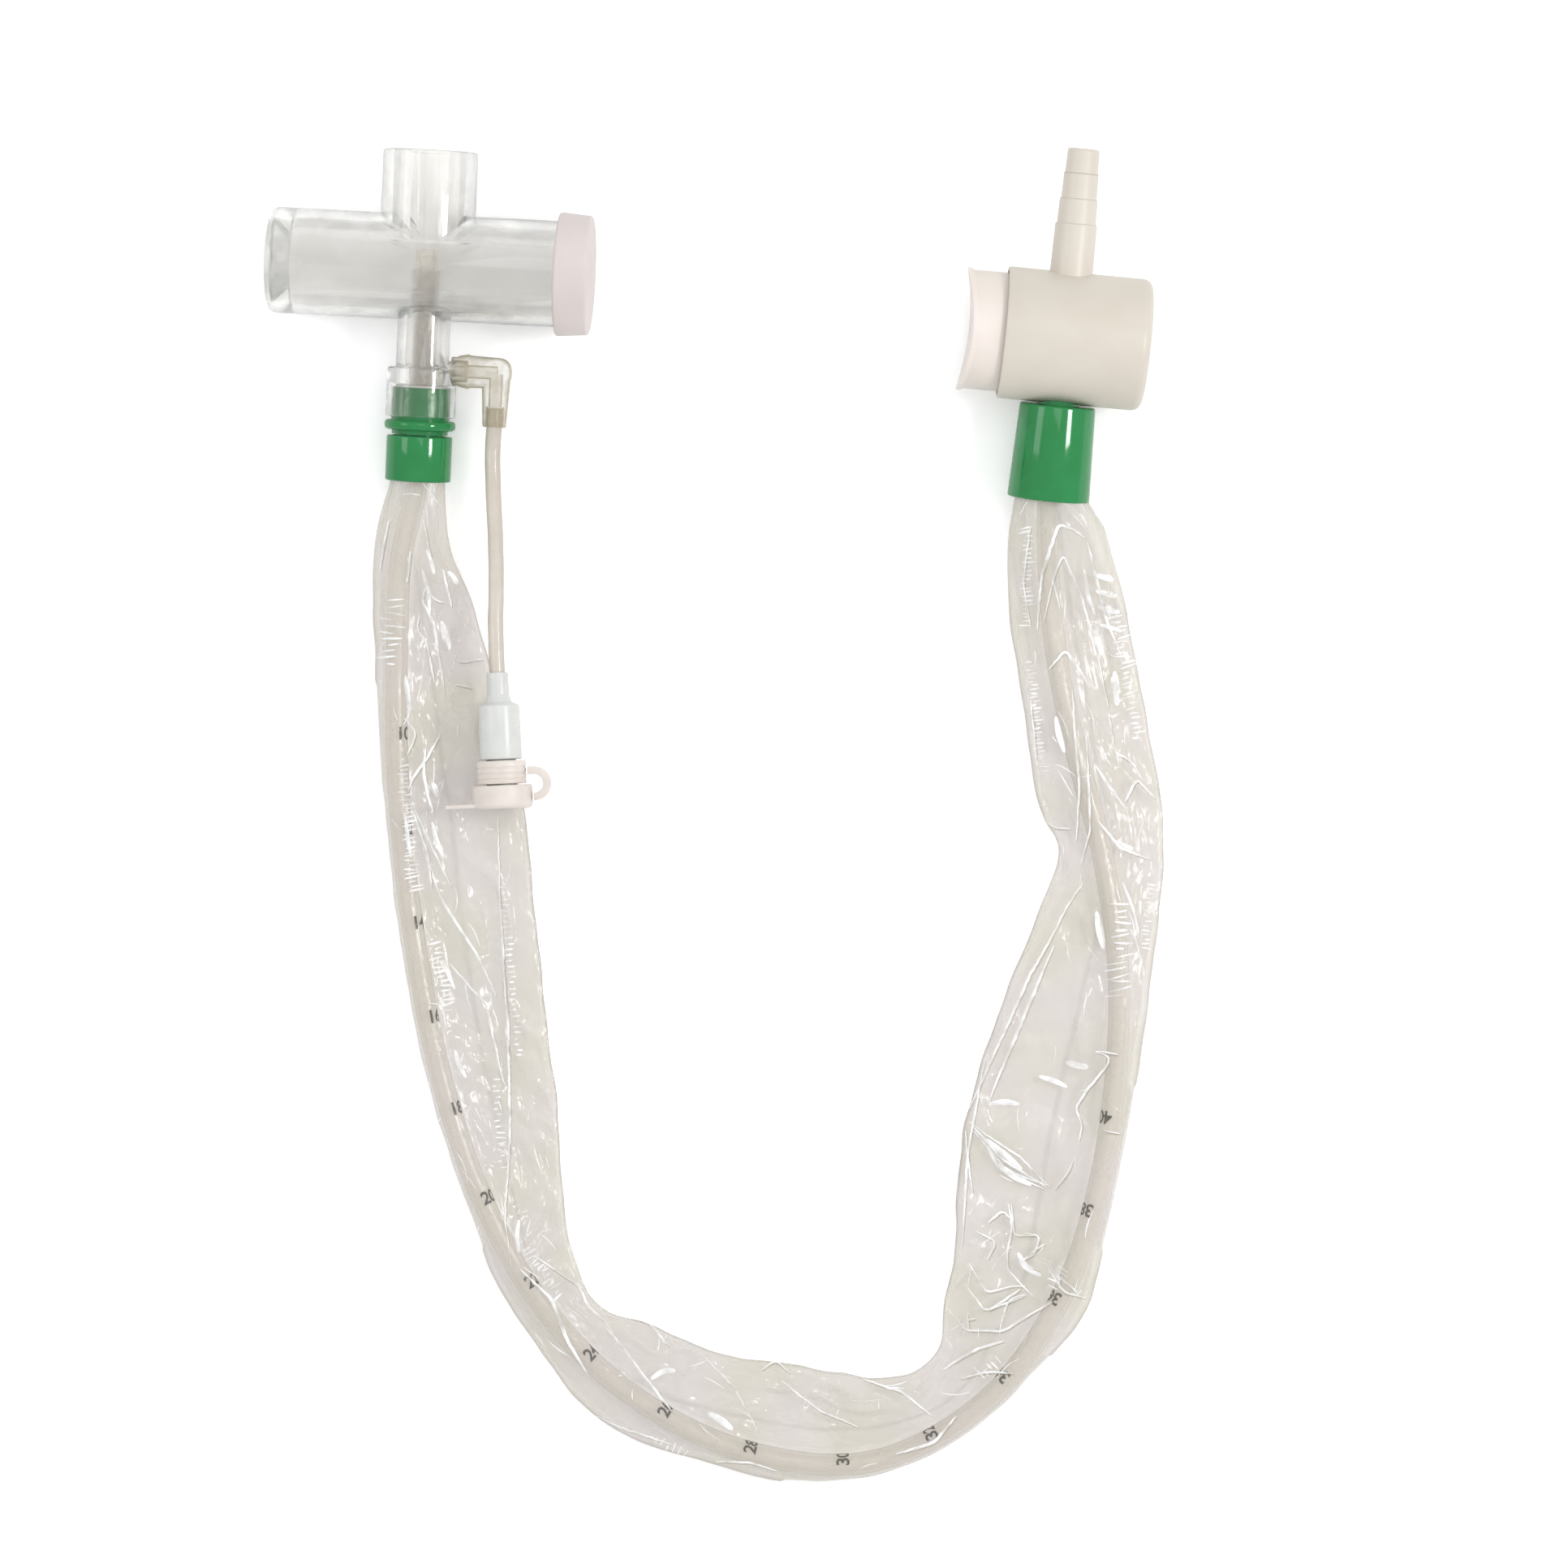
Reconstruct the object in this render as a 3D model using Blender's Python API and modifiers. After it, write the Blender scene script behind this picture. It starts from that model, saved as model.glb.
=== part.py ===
"""Closed suction catheter: clear T-piece, irrigation line, sleeved catheter laid in a U, suction valve.

Metres, +Z up. The object lies on the plane Z = 0 with its origin under the middle of its outline.
+X runs from the T-piece to the valve, +Y from the bend of the U to the T-piece and the valve.
"""

import math

import bmesh
import bpy
from mathutils import Euler, Matrix, Vector

# Clearance between pieces that touch, and the film's modelled wall
GAP = 0.0003
FILM_WALL = 0.0003

# Catheter, 14 French
CATHETER_DIAMETER = 0.00467
CATHETER_TIP_REACH = 0.0037
EYE_DIAMETER = 0.0020
EYE_DISTANCE = 0.0045
EYE_LOWER_DISTANCE = 0.0072

# T-piece barrel, along the T-piece's X
BARREL_DIAMETER = 0.0223
BARREL_WALL = 0.0020
BARREL_LEFT_REACH = 0.0330
BARREL_RIGHT_REACH = 0.0330
LIP_ROUND = 0.0016
PORT_SOCKET_DIAMETER = 0.0178
PORT_SOCKET_DEPTH = 0.0055

# Patient stub, along the T-piece's +Y
STUB_DIAMETER = 0.0200
STUB_REACH = 0.0244
STUB_BORE_MOUTH = 0.0154
STUB_BORE_ROOT = 0.0149

# Neck and socket, along the T-piece's -Y, as distances from the barrel's axis
NECK_DIAMETER = 0.0112
NECK_BORE = 0.0074
SOCKET_TOP = 0.0211
SOCKET_END = 0.0315
SOCKET_DIAMETER = 0.0147
SEAL_RECESS_TOP = 0.0246
SOCKET_BORE_TOP = 0.02505

# Side spigot for irrigation, along the T-piece's +X
SPIGOT_DISTANCE = 0.02145
SPIGOT_DIAMETER = 0.0040
SPIGOT_REACH = 0.0093
SPIGOT_BORE = 0.0016
SPOTFACE_REACH = 0.0060

# End cap
CAP_OPEN_DIAMETER = 0.0261
CAP_CLOSED_DIAMETER = 0.0250
CAP_SKIRT = 0.0054
CAP_FACE = 0.0016
CAP_PLUG_LENGTH = 0.0028
CAP_PLUG_WALL = 0.0012
CAP_ROUND = 0.0006

# Guide tube and wiper seal
GUIDE_DIAMETER = 0.0058
GUIDE_TOP = 0.0006
GUIDE_FLANGE_THICKNESS = 0.0007
SEAL_DIAMETER = 0.0108
SEAL_THICKNESS = 0.0015

# Green coupling, as distances from the barrel's axis
INSERT_DIAMETER = 0.0124
INSERT_STEP = 0.0001
INSERT_STEP_DISTANCE = 0.0275
FLANGE_TOP = 0.0322
FLANGE_THICKNESS = 0.0021
FLANGE_DIAMETER = 0.0151
FLANGE_ROUND = 0.0008
COUPLING_NECK_DIAMETER = 0.0119
COUPLING_NECK_LENGTH = 0.0009
COUPLING_SPIGOT_DIAMETER = 0.0100
COUPLING_BORE = 0.0058
FRONT_COLLAR_TOP = 0.0355
FRONT_COLLAR_LENGTH = 0.0096
FRONT_COLLAR_DIAMETER = 0.0139
COLLAR_ROUND = 0.0003

# Irrigation elbow
ELBOW_START = 0.0063
ELBOW_MOUTH_DIAMETER = 0.0060
ELBOW_ARM_DIAMETER = 0.0065
ELBOW_BULGE_DIAMETER = 0.0073
ELBOW_BULGE_REACH = 0.0098
ELBOW_BULGE_LENGTH = 0.0020
ELBOW_CORNER_REACH = 0.0158
ELBOW_END = 0.0329
ELBOW_TAIL_TOP_DIAMETER = 0.0062
ELBOW_TAIL_END_DIAMETER = 0.0050
ELBOW_LUMEN = 0.0028
LUMEN_MEETING = 0.0002

# Irrigation hose and its one-way connector, lying on the sleeve
HOSE_DIAMETER = 0.0033
HOSE_INSERTION = 0.0040
CONNECTOR_MOUTH = (-0.0462, 0.0302, 0.0093)
CONNECTOR_YAW = math.radians(2.4)
CONNECTOR_NECK_DIAMETER = 0.0046
CONNECTOR_NECK_LENGTH = 0.0045
CONNECTOR_SHOULDER = 0.0069
CONNECTOR_TOP_DIAMETER = 0.0087
CONNECTOR_END_DIAMETER = 0.0089
CONNECTOR_END = 0.0184
CONNECTOR_BORE = 0.0066
CONNECTOR_BORE_TOP = 0.0082
DISC_THICKNESS = 0.0010
PORT_PLUG_TOP = 0.0108
PORT_LIP_LENGTH = 0.0002
NOSE_DIAMETER = 0.0066
NOSE_END = 0.0268
NOSE_BORE = 0.0042
RING_DIAMETER = 0.0104
RING_TOP = 0.0187
RING_END = 0.0236
RING_RIB_HEIGHT = 0.0003
IRRIGATION_CAP_DIAMETER = 0.0127
IRRIGATION_CAP_TOP = 0.0239
IRRIGATION_CAP_END = 0.0289
IRRIGATION_CAP_TRAVEL = 0.0080
TAB_REACH = 0.0119
TAB_THICKNESS = 0.0008
TAB_WIDTH = 0.0060
STRAP_LOOP_DIAMETER = 0.0068
STRAP_THICKNESS = 0.0012
STRAP_WIDTH = 0.0030
STRAP_DISTANCE = 0.0068

# Suction valve housing, along the valve's X from the port's axis
HOUSING_DIAMETER = 0.0277
HOUSING_LEFT_REACH = 0.0131
HOUSING_RIGHT_REACH = 0.0174
HOUSING_END_WALL = 0.0025
HOUSING_ROUND = 0.0020
HOUSING_CUP_DIAMETER = 0.0256
HOUSING_CUP_FLOOR = 0.0044
PLUNGER_DIAMETER = 0.0180

# Stepped hose tail, along the valve's +Y: each step's lower and upper diameter and its length
TAIL_STEPS = [
    (0.0091, 0.0088, 0.0101),
    (0.0082, 0.0080, 0.0052),
    (0.0075, 0.0073, 0.0053),
    (0.0070, 0.0067, 0.0052),
]
TAIL_BORE = 0.0048

# Thumb button
BUTTON_DIAMETER = 0.0250
BUTTON_LIP_DIAMETER = 0.0258
BUTTON_LIP_THICKNESS = 0.0010
BUTTON_EXPOSED = 0.0087
BUTTON_ENGAGEMENT = 0.0014
BUTTON_SADDLE_DEPTH = 0.0020
BUTTON_WALL = 0.0014
BUTTON_TOP_THICKNESS = 0.0032
BUTTON_HUB_DIAMETER = 0.0110
STEM_DIAMETER = 0.0080
STEM_REACH = 0.0165

# Plunger, its cross hole, seal rings and spring, as distances along the valve's X at rest
PRESS_TRAVEL = 0.0070
PLUNGER_LEFT = -0.0114
PLUNGER_RIGHT = 0.0073
CROSS_HOLE_DIAMETER = 0.0050
SEAL_RING_PLACES = {
    "seal_ring_front": -0.0106,
    "seal_ring_middle": -0.0036,
    "seal_ring_rear": 0.0038,
}
SEAL_RING_SECTION = 0.0010
SPRING_POCKET_DIAMETER = 0.0100
SPRING_POCKET_FLOOR = 0.0026
SPRING_COIL_DIAMETER = 0.0080
SPRING_WIRE_DIAMETER = 0.0007
SPRING_TURNS = 5

# Rear collar and green spigot, as distances from the housing's axis along the valve's -Y
REAR_COLLAR_TOP_DIAMETER = 0.0160
REAR_COLLAR_END_DIAMETER = 0.0175
REAR_COLLAR_END = 0.0341
REAR_COLLAR_LID = 0.0015
REAR_COLLAR_WALL = 0.0011
VALVE_SPIGOT_DIAMETER = 0.0087
VALVE_SPIGOT_TOP = 0.0105
VALVE_SPIGOT_SKIRT_DIAMETER = 0.0122
VALVE_SPIGOT_END = 0.0330
CATHETER_REAR_STOP = 0.0170

# Places of the two moulded ends on the table
TEE_PLACE = (-0.0610, 0.1158)
TEE_YAW = math.radians(-3.15)
VALVE_PLACE = (0.0738, 0.1007)
VALVE_YAW = math.radians(-5.35)

# Route of the catheter between the collars: x, y and lift above where it rests on the film
CATHETER_ROUTE = [
    (-0.0670, 0.0545, 0.0021),
    (-0.0680, 0.0370, 0.0004),
    (-0.0682, 0.0200, 0.0000),
    (-0.0673, -0.0010, 0.0000),
    (-0.0640, -0.0288, 0.0000),
    (-0.0585, -0.0566, 0.0000),
    (-0.0498, -0.0822, 0.0000),
    (-0.0371, -0.1048, 0.0000),
    (-0.0185, -0.1235, 0.0000),
    (0.0066, -0.1360, 0.0000),
    (0.0335, -0.1381, 0.0000),
    (0.0573, -0.1256, 0.0000),
    (0.0739, -0.1029, 0.0000),
    (0.0819, -0.0791, 0.0000),
    (0.0857, -0.0531, 0.0000),
    (0.0859, -0.0305, 0.0000),
    (0.0826, -0.0080, 0.0000),
    (0.0770, 0.0135, 0.0000),
    (0.0733, 0.0310, 0.0005),
    (0.0713, 0.0470, 0.0026),
]

# Spread of the film along that route between its clamped ends: distance from the front collar, then reach
# to the outside and to the inside of the U
FILM_SPREAD = [
    (0.010, 0.0064, 0.0088),
    (0.025, 0.0056, 0.0155),
    (0.045, 0.0043, 0.0217),
    (0.075, 0.0033, 0.0268),
    (0.110, 0.0033, 0.0257),
    (0.140, 0.0033, 0.0226),
    (0.160, 0.0038, 0.0171),
    (0.172, 0.0056, 0.0125),
    (0.190, 0.0063, 0.0084),
    (0.202, 0.0087, 0.0143),
    (0.215, 0.0080, 0.0160),
    (0.230, 0.0046, 0.0184),
    (0.241, 0.0048, 0.0205),
    (0.262, 0.0033, 0.0190),
    (0.283, 0.0033, 0.0134),
    (0.291, 0.0033, 0.0142),
    (0.301, 0.0033, 0.0198),
    (0.318, 0.0066, 0.0250),
    (0.333, 0.0042, 0.0288),
    (0.352, 0.0038, 0.0309),
    (0.370, 0.0047, 0.0286),
    (0.390, 0.0070, 0.0231),
    (0.407, 0.0114, 0.0150),
    (0.419, 0.0143, 0.0078),
    (0.428, 0.0157, 0.0109),
    (0.450, 0.0169, 0.0087),
    (0.470, 0.0163, 0.0088),
    (0.483, 0.0132, 0.0086),
]
FILM_RING_SPACING = 0.0075
FILM_CROWN_SLACK = 0.0003
FILM_SKIRT_HEIGHT = 0.0044
FILM_HEM_HEIGHT = 0.0011
FILM_SHOULDER_RISE = 0.62
FILM_TIGHT_REACH = 0.0040
FILM_LOOSE_REACH = 0.0090
FILM_FOLD_HEIGHT = 0.0013
FILM_FOLD_PLACE = 0.62
FILM_FOLD_WIDTH = 0.16
FILM_RIPPLE = 0.0006
FILM_RIPPLE_LENGTH = 0.0190
FILM_SETTLE_LENGTH = 0.0280
FILM_PRESSED_HEIGHT = 0.0024
FILM_PRESSED_MARGIN = 0.0020
FILM_PRESSED_HALF_WIDTH = 0.0080
FILM_PRESSED_FADE = 0.0060
CATHETER_POINT_SPACING = 0.0117

# How far a cutter runs past the face that it opens
OVERCUT = 0.0015

# Facets round a turned piece
SEGMENTS_LARGE = 36
SEGMENTS_MEDIUM = 24
SEGMENTS_SMALL = 16
FILLET_STEPS = 2
SHARP_ANGLE = math.radians(35)
WELD_DISTANCE = 0.000003

# Rotations that carry a turned piece's own Z onto its frame's X or Y
ALONG_X = (0.0, math.pi / 2, 0.0)
ALONG_Y = (-math.pi / 2, 0.0, 0.0)


# Values worked out from the sizes above
CATHETER_RADIUS = CATHETER_DIAMETER / 2
CATHETER_REST_HEIGHT = FILM_WALL + GAP + CATHETER_RADIUS
CATHETER_CLEARANCE_BORE = CATHETER_DIAMETER + 2 * GAP
BARREL_BORE = BARREL_DIAMETER - 2 * BARREL_WALL
FRONT_COLLAR_END = FRONT_COLLAR_TOP + FRONT_COLLAR_LENGTH
FLANGE_END = FLANGE_TOP + FLANGE_THICKNESS
COUPLING_NECK_END = FLANGE_END + COUPLING_NECK_LENGTH
FRONT_FILM_RADIUS = COUPLING_SPIGOT_DIAMETER / 2 + GAP + FILM_WALL
REAR_FILM_RADIUS = VALVE_SPIGOT_SKIRT_DIAMETER / 2 + GAP + FILM_WALL
REAR_COLLAR_TOP = HOUSING_DIAMETER / 2 + GAP
PLUNGER_BORE = PLUNGER_DIAMETER + 2 * GAP
HOUSING_FLOOR = HOUSING_RIGHT_REACH - HOUSING_END_WALL
LIP_RECESS_RADIUS = BUTTON_LIP_DIAMETER / 2 + GAP
LIP_RECESS_DEPTH = PRESS_TRAVEL - (BUTTON_EXPOSED - BUTTON_SADDLE_DEPTH - BUTTON_LIP_THICKNESS) + 2 * GAP
CAP_FLOOR = BARREL_RIGHT_REACH + GAP


def resting_tee():
    """Height, pitch and roll of the T-piece where its end cap, barrel lip and front collar touch the table."""
    cap_radius = CAP_OPEN_DIAMETER / 2
    lip_radius = BARREL_DIAMETER / 2
    span = (CAP_FLOOR - CAP_SKIRT) + (BARREL_LEFT_REACH - LIP_ROUND)
    roll = math.atan2(cap_radius - lip_radius, span)
    height = cap_radius * math.cos(roll) - (CAP_FLOOR - CAP_SKIRT) * math.sin(roll)
    pitch = math.asin((height - FRONT_COLLAR_DIAMETER / 2) / FRONT_COLLAR_END)
    return height, pitch, -roll


def resting_valve():
    """Height and pitch of the valve where its housing and the rear collar's rim touch the table."""
    height = HOUSING_DIAMETER / 2
    pitch = math.asin((height - REAR_COLLAR_END_DIAMETER / 2) / REAR_COLLAR_END)
    return height, pitch


# Scene, collections and materials
def clear_scene():
    for obj in list(bpy.data.objects):
        bpy.data.objects.remove(obj, do_unlink=True)


def new_collection(name):
    collection = bpy.data.collections.new(name)
    bpy.context.scene.collection.children.link(collection)
    return collection


def linear(channel):
    return channel / 12.92 if channel <= 0.04045 else ((channel + 0.055) / 1.055) ** 2.4


def plastic(name, hex_colour, roughness, alpha=1.0):
    """A plain Principled material; none of the pieces but the spring is metal."""
    channels = [int(hex_colour[i : i + 2], 16) / 255 for i in (0, 2, 4)]
    made = bpy.data.materials.new(name)
    made.use_nodes = True
    shader = made.node_tree.nodes["Principled BSDF"]
    shader.inputs["Base Color"].default_value = [linear(c) for c in channels] + [1.0]
    shader.inputs["Roughness"].default_value = roughness
    shader.inputs["Metallic"].default_value = 0.0
    shader.inputs["Alpha"].default_value = alpha
    return made


def steel(name, hex_colour, roughness):
    made = plastic(name, hex_colour, roughness)
    made.node_tree.nodes["Principled BSDF"].inputs["Metallic"].default_value = 1.0
    return made


def new_frame(name, place, rotation):
    frame = bpy.data.objects.new(name, None)
    frame.location = place
    frame.rotation_euler = rotation
    frame.empty_display_size = 0.01
    PARTS.objects.link(frame)
    return frame


def add_object(name, data, made_of, parent, rotation, place):
    """Puts a piece in the parts collection, or a cutter, which has no material, in the cutters collection."""
    obj = bpy.data.objects.new(name, data)
    obj.parent = parent
    obj.rotation_euler = rotation
    obj.location = place
    if made_of is None:
        CUTTERS.objects.link(obj)
        obj.hide_render = True
        obj.display_type = "WIRE"
    else:
        data.materials.append(made_of)
        PARTS.objects.link(obj)
    return obj


# Profiles and turned pieces
def with_fillets(outline, closed):
    """Replaces each point that has a third value, its fillet radius, by an arc."""
    points = []
    count = len(outline)
    for i, point in enumerate(outline):
        corner = Vector(point[:2])
        radius = point[2] if len(point) > 2 else 0.0
        if radius == 0.0 or (not closed and i in (0, count - 1)):
            points.append(corner)
            continue
        before = (Vector(outline[i - 1][:2]) - corner).normalized()
        after = (Vector(outline[(i + 1) % count][:2]) - corner).normalized()
        half_angle = before.angle(after) / 2
        reach = radius / math.tan(half_angle)
        centre = corner + (before + after).normalized() * radius / math.sin(half_angle)
        start = corner + before * reach - centre
        end = corner + after * reach - centre
        for step in range(FILLET_STEPS + 1):
            arm = start.slerp(end, step / FILLET_STEPS)
            points.append(centre + arm.normalized() * radius)
    return points


def turned(name, outline, made_of=None, parent=None, rotation=ALONG_Y, place=(0, 0, 0), segments=SEGMENTS_MEDIUM):
    """Spins an outline of (radius, height) points, top to bottom down its outer side, round the piece's Z."""
    closed = outline[0][0] > 0 or outline[-1][0] > 0
    points = with_fillets(outline, closed)
    count = len(points)
    edges = [(i, i + 1) for i in range(count - 1)]
    if closed:
        edges.append((count - 1, 0))
    mesh = bpy.data.meshes.new(name)
    mesh.from_pydata([(p.x, 0.0, p.y) for p in points], edges, [])
    obj = add_object(name, mesh, made_of, parent, rotation, place)
    spin = obj.modifiers.new("spin", "SCREW")
    spin.angle = 2 * math.pi
    spin.steps = segments
    spin.render_steps = segments
    spin.use_merge_vertices = True
    spin.merge_threshold = 0.00001
    return obj


def combine(obj, operation, other):
    step = obj.modifiers.new(other.name, "BOOLEAN")
    step.operation = operation
    step.solver = "EXACT"
    step.use_self = True
    step.object = other


def join(obj, other):
    combine(obj, "UNION", other)


def cut(obj, other):
    combine(obj, "DIFFERENCE", other)


def rod(radius, top, bottom):
    """Outline of a plain rod or hole."""
    return [(0, top), (radius, top), (radius, bottom), (0, bottom)]


def block(name, low, high, made_of=None, parent=None):
    """A box between two corners given in its parent's frame."""
    mesh = bpy.data.meshes.new(name)
    shape = bmesh.new()
    bmesh.ops.create_cube(shape, size=1.0)
    size = Vector(high) - Vector(low)
    bmesh.ops.scale(shape, vec=size, verts=shape.verts)
    shape.to_mesh(mesh)
    shape.free()
    return add_object(name, mesh, made_of, parent, (0, 0, 0), (Vector(low) + Vector(high)) / 2)


def tube(name, points, radius, made_of, sides_step=2):
    """A solid cord or wire along points in world space."""
    curve = bpy.data.curves.new(name, "CURVE")
    curve.dimensions = "3D"
    curve.bevel_depth = radius
    curve.bevel_resolution = sides_step
    curve.use_fill_caps = True
    spline = curve.splines.new("POLY")
    spline.points.add(len(points) - 1)
    for target, point in zip(spline.points, points):
        target.co = (*point, 1.0)
    return add_object(name, curve, made_of, None, (0, 0, 0), (0, 0, 0))


# Smooth curves
def smooth_run(points, spacing):
    """Points every spacing along a centripetal Catmull-Rom curve from the second point to the last but one."""
    fine = []
    steps = 24
    for p0, p1, p2, p3 in zip(points, points[1:], points[2:], points[3:]):
        t0 = 0.0
        t1 = t0 + math.sqrt((p1 - p0).length)
        t2 = t1 + math.sqrt((p2 - p1).length)
        t3 = t2 + math.sqrt((p3 - p2).length)
        for i in range(steps):
            t = t1 + (t2 - t1) * i / steps
            a1 = p0.lerp(p1, (t - t0) / (t1 - t0))
            a2 = p1.lerp(p2, (t - t1) / (t2 - t1))
            a3 = p2.lerp(p3, (t - t2) / (t3 - t2))
            b1 = a1.lerp(a2, (t - t0) / (t2 - t0))
            b2 = a2.lerp(a3, (t - t1) / (t3 - t1))
            fine.append(b1.lerp(b2, (t - t1) / (t2 - t1)))
    fine.append(points[-2].copy())
    distances = [0.0]
    for a, b in zip(fine, fine[1:]):
        distances.append(distances[-1] + (b - a).length)
    count = max(2, round(distances[-1] / spacing))
    even = []
    k = 0
    for i in range(count + 1):
        wanted = distances[-1] * i / count
        while k < len(fine) - 2 and distances[k + 1] < wanted:
            k += 1
        share = (wanted - distances[k]) / (distances[k + 1] - distances[k])
        even.append(fine[k].lerp(fine[k + 1], min(1.0, share)))
    return even, distances[-1]


def smoothstep(low, high, value):
    share = min(1.0, max(0.0, (value - low) / (high - low)))
    return share * share * (3 - 2 * share)


def between(table, value):
    """Reads a list of (key, ...) rows at a key, easing from row to row."""
    for row, following in zip(table, table[1:]):
        if value <= following[0]:
            share = smoothstep(row[0], following[0], value)
            return [a + (b - a) * share for a, b in zip(row[1:], following[1:])]
    return list(table[-1][1:])


# T-piece and what it carries
def build_tee_piece(frame, clear):
    barrel = turned(
        "t_piece",
        [
            (0, BARREL_RIGHT_REACH),
            (BARREL_DIAMETER / 2, BARREL_RIGHT_REACH, 0.0004),
            (BARREL_DIAMETER / 2, -BARREL_LEFT_REACH, LIP_ROUND),
            (0, -BARREL_LEFT_REACH),
        ],
        clear, frame, ALONG_X, segments=SEGMENTS_LARGE,
    )
    stub = turned("stub_body", rod(STUB_DIAMETER / 2, STUB_REACH, 0), None, frame, segments=SEGMENTS_LARGE)
    lower = turned(
        "neck_and_socket_body",
        [
            (0, 0),
            (NECK_DIAMETER / 2, 0),
            (NECK_DIAMETER / 2, -SOCKET_TOP),
            (SOCKET_DIAMETER / 2, -SOCKET_TOP, 0.0004),
            (SOCKET_DIAMETER / 2, -SOCKET_END, 0.0003),
            (0, -SOCKET_END),
        ],
        None, frame,
    )
    spotface = turned(
        "elbow_spotface", rod(ELBOW_MOUTH_DIAMETER / 2 + GAP, SPIGOT_REACH, SPOTFACE_REACH),
        None, frame, ALONG_X, (0, -SPIGOT_DISTANCE, 0), SEGMENTS_SMALL,
    )
    spigot = turned(
        "irrigation_spigot_body", rod(SPIGOT_DIAMETER / 2, SPIGOT_REACH, NECK_BORE / 2 + GAP),
        None, frame, ALONG_X, (0, -SPIGOT_DISTANCE, 0), SEGMENTS_SMALL,
    )
    barrel_bore = turned(
        "barrel_bore",
        [
            (0, BARREL_RIGHT_REACH + OVERCUT),
            (BARREL_BORE / 2, BARREL_RIGHT_REACH + OVERCUT),
            (BARREL_BORE / 2, -BARREL_LEFT_REACH + PORT_SOCKET_DEPTH),
            (PORT_SOCKET_DIAMETER / 2, -BARREL_LEFT_REACH + PORT_SOCKET_DEPTH),
            (PORT_SOCKET_DIAMETER / 2, -BARREL_LEFT_REACH - OVERCUT),
            (0, -BARREL_LEFT_REACH - OVERCUT),
        ],
        None, frame, ALONG_X, segments=SEGMENTS_LARGE,
    )
    stub_bore = turned(
        "stub_bore",
        [
            (0, STUB_REACH + OVERCUT),
            (STUB_BORE_MOUTH / 2, STUB_REACH + OVERCUT),
            (STUB_BORE_ROOT / 2, BARREL_BORE / 4),
            (0, BARREL_BORE / 4),
        ],
        None, frame,
    )
    lower_bore = turned(
        "neck_and_socket_bore",
        [
            (0, -BARREL_BORE / 4),
            (NECK_BORE / 2, -BARREL_BORE / 4),
            (NECK_BORE / 2, -SEAL_RECESS_TOP),
            (SEAL_DIAMETER / 2 + GAP, -SEAL_RECESS_TOP),
            (SEAL_DIAMETER / 2 + GAP, -SOCKET_BORE_TOP),
            (INSERT_DIAMETER / 2 + GAP, -SOCKET_BORE_TOP),
            (INSERT_DIAMETER / 2 + GAP, -SOCKET_END - OVERCUT),
            (0, -SOCKET_END - OVERCUT),
        ],
        None, frame,
    )
    spigot_bore = turned(
        "irrigation_spigot_bore", rod(SPIGOT_BORE / 2, SPIGOT_REACH + OVERCUT, NECK_BORE / 4),
        None, frame, ALONG_X, (0, -SPIGOT_DISTANCE, 0), SEGMENTS_SMALL,
    )
    join(barrel, stub)
    join(barrel, lower)
    cut(barrel, spotface)
    join(barrel, spigot)
    join(barrel_bore, stub_bore)
    join(barrel_bore, lower_bore)
    join(barrel_bore, spigot_bore)
    cut(barrel, barrel_bore)


def build_port_cap(frame, made_of):
    face = CAP_FLOOR + CAP_FACE
    skirt_end = CAP_FLOOR - CAP_SKIRT
    plug_radius = BARREL_BORE / 2 - GAP
    plug_end = CAP_FLOOR - CAP_PLUG_LENGTH
    turned(
        "port_cap",
        [
            (0, face),
            (CAP_CLOSED_DIAMETER / 2, face, CAP_ROUND),
            (CAP_OPEN_DIAMETER / 2, skirt_end, CAP_ROUND),
            (BARREL_DIAMETER / 2 + GAP, skirt_end),
            (BARREL_DIAMETER / 2 + GAP, CAP_FLOOR),
            (plug_radius, CAP_FLOOR),
            (plug_radius, plug_end),
            (plug_radius - CAP_PLUG_WALL, plug_end),
            (plug_radius - CAP_PLUG_WALL, CAP_FLOOR),
            (0, CAP_FLOOR),
        ],
        made_of, frame, ALONG_X, segments=SEGMENTS_LARGE,
    )


def build_guide_and_seal(frame, clear, silicone):
    flange_end = SEAL_RECESS_TOP
    flange_top = flange_end - GUIDE_FLANGE_THICKNESS
    bore = CATHETER_CLEARANCE_BORE / 2
    turned(
        "guide_tube",
        [
            (GUIDE_DIAMETER / 2, -GUIDE_TOP),
            (GUIDE_DIAMETER / 2, -flange_top),
            (NECK_BORE / 2 - GAP, -flange_top),
            (NECK_BORE / 2 - GAP, -flange_end),
            (bore, -flange_end),
            (bore, -GUIDE_TOP),
        ],
        clear, frame, segments=SEGMENTS_SMALL,
    )
    seal_top = flange_end + GAP
    turned(
        "wiper_seal",
        [
            (SEAL_DIAMETER / 2, -seal_top),
            (SEAL_DIAMETER / 2, -seal_top - SEAL_THICKNESS),
            (bore, -seal_top - SEAL_THICKNESS),
            (bore, -seal_top),
        ],
        silicone, frame, segments=SEGMENTS_SMALL,
    )


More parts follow.
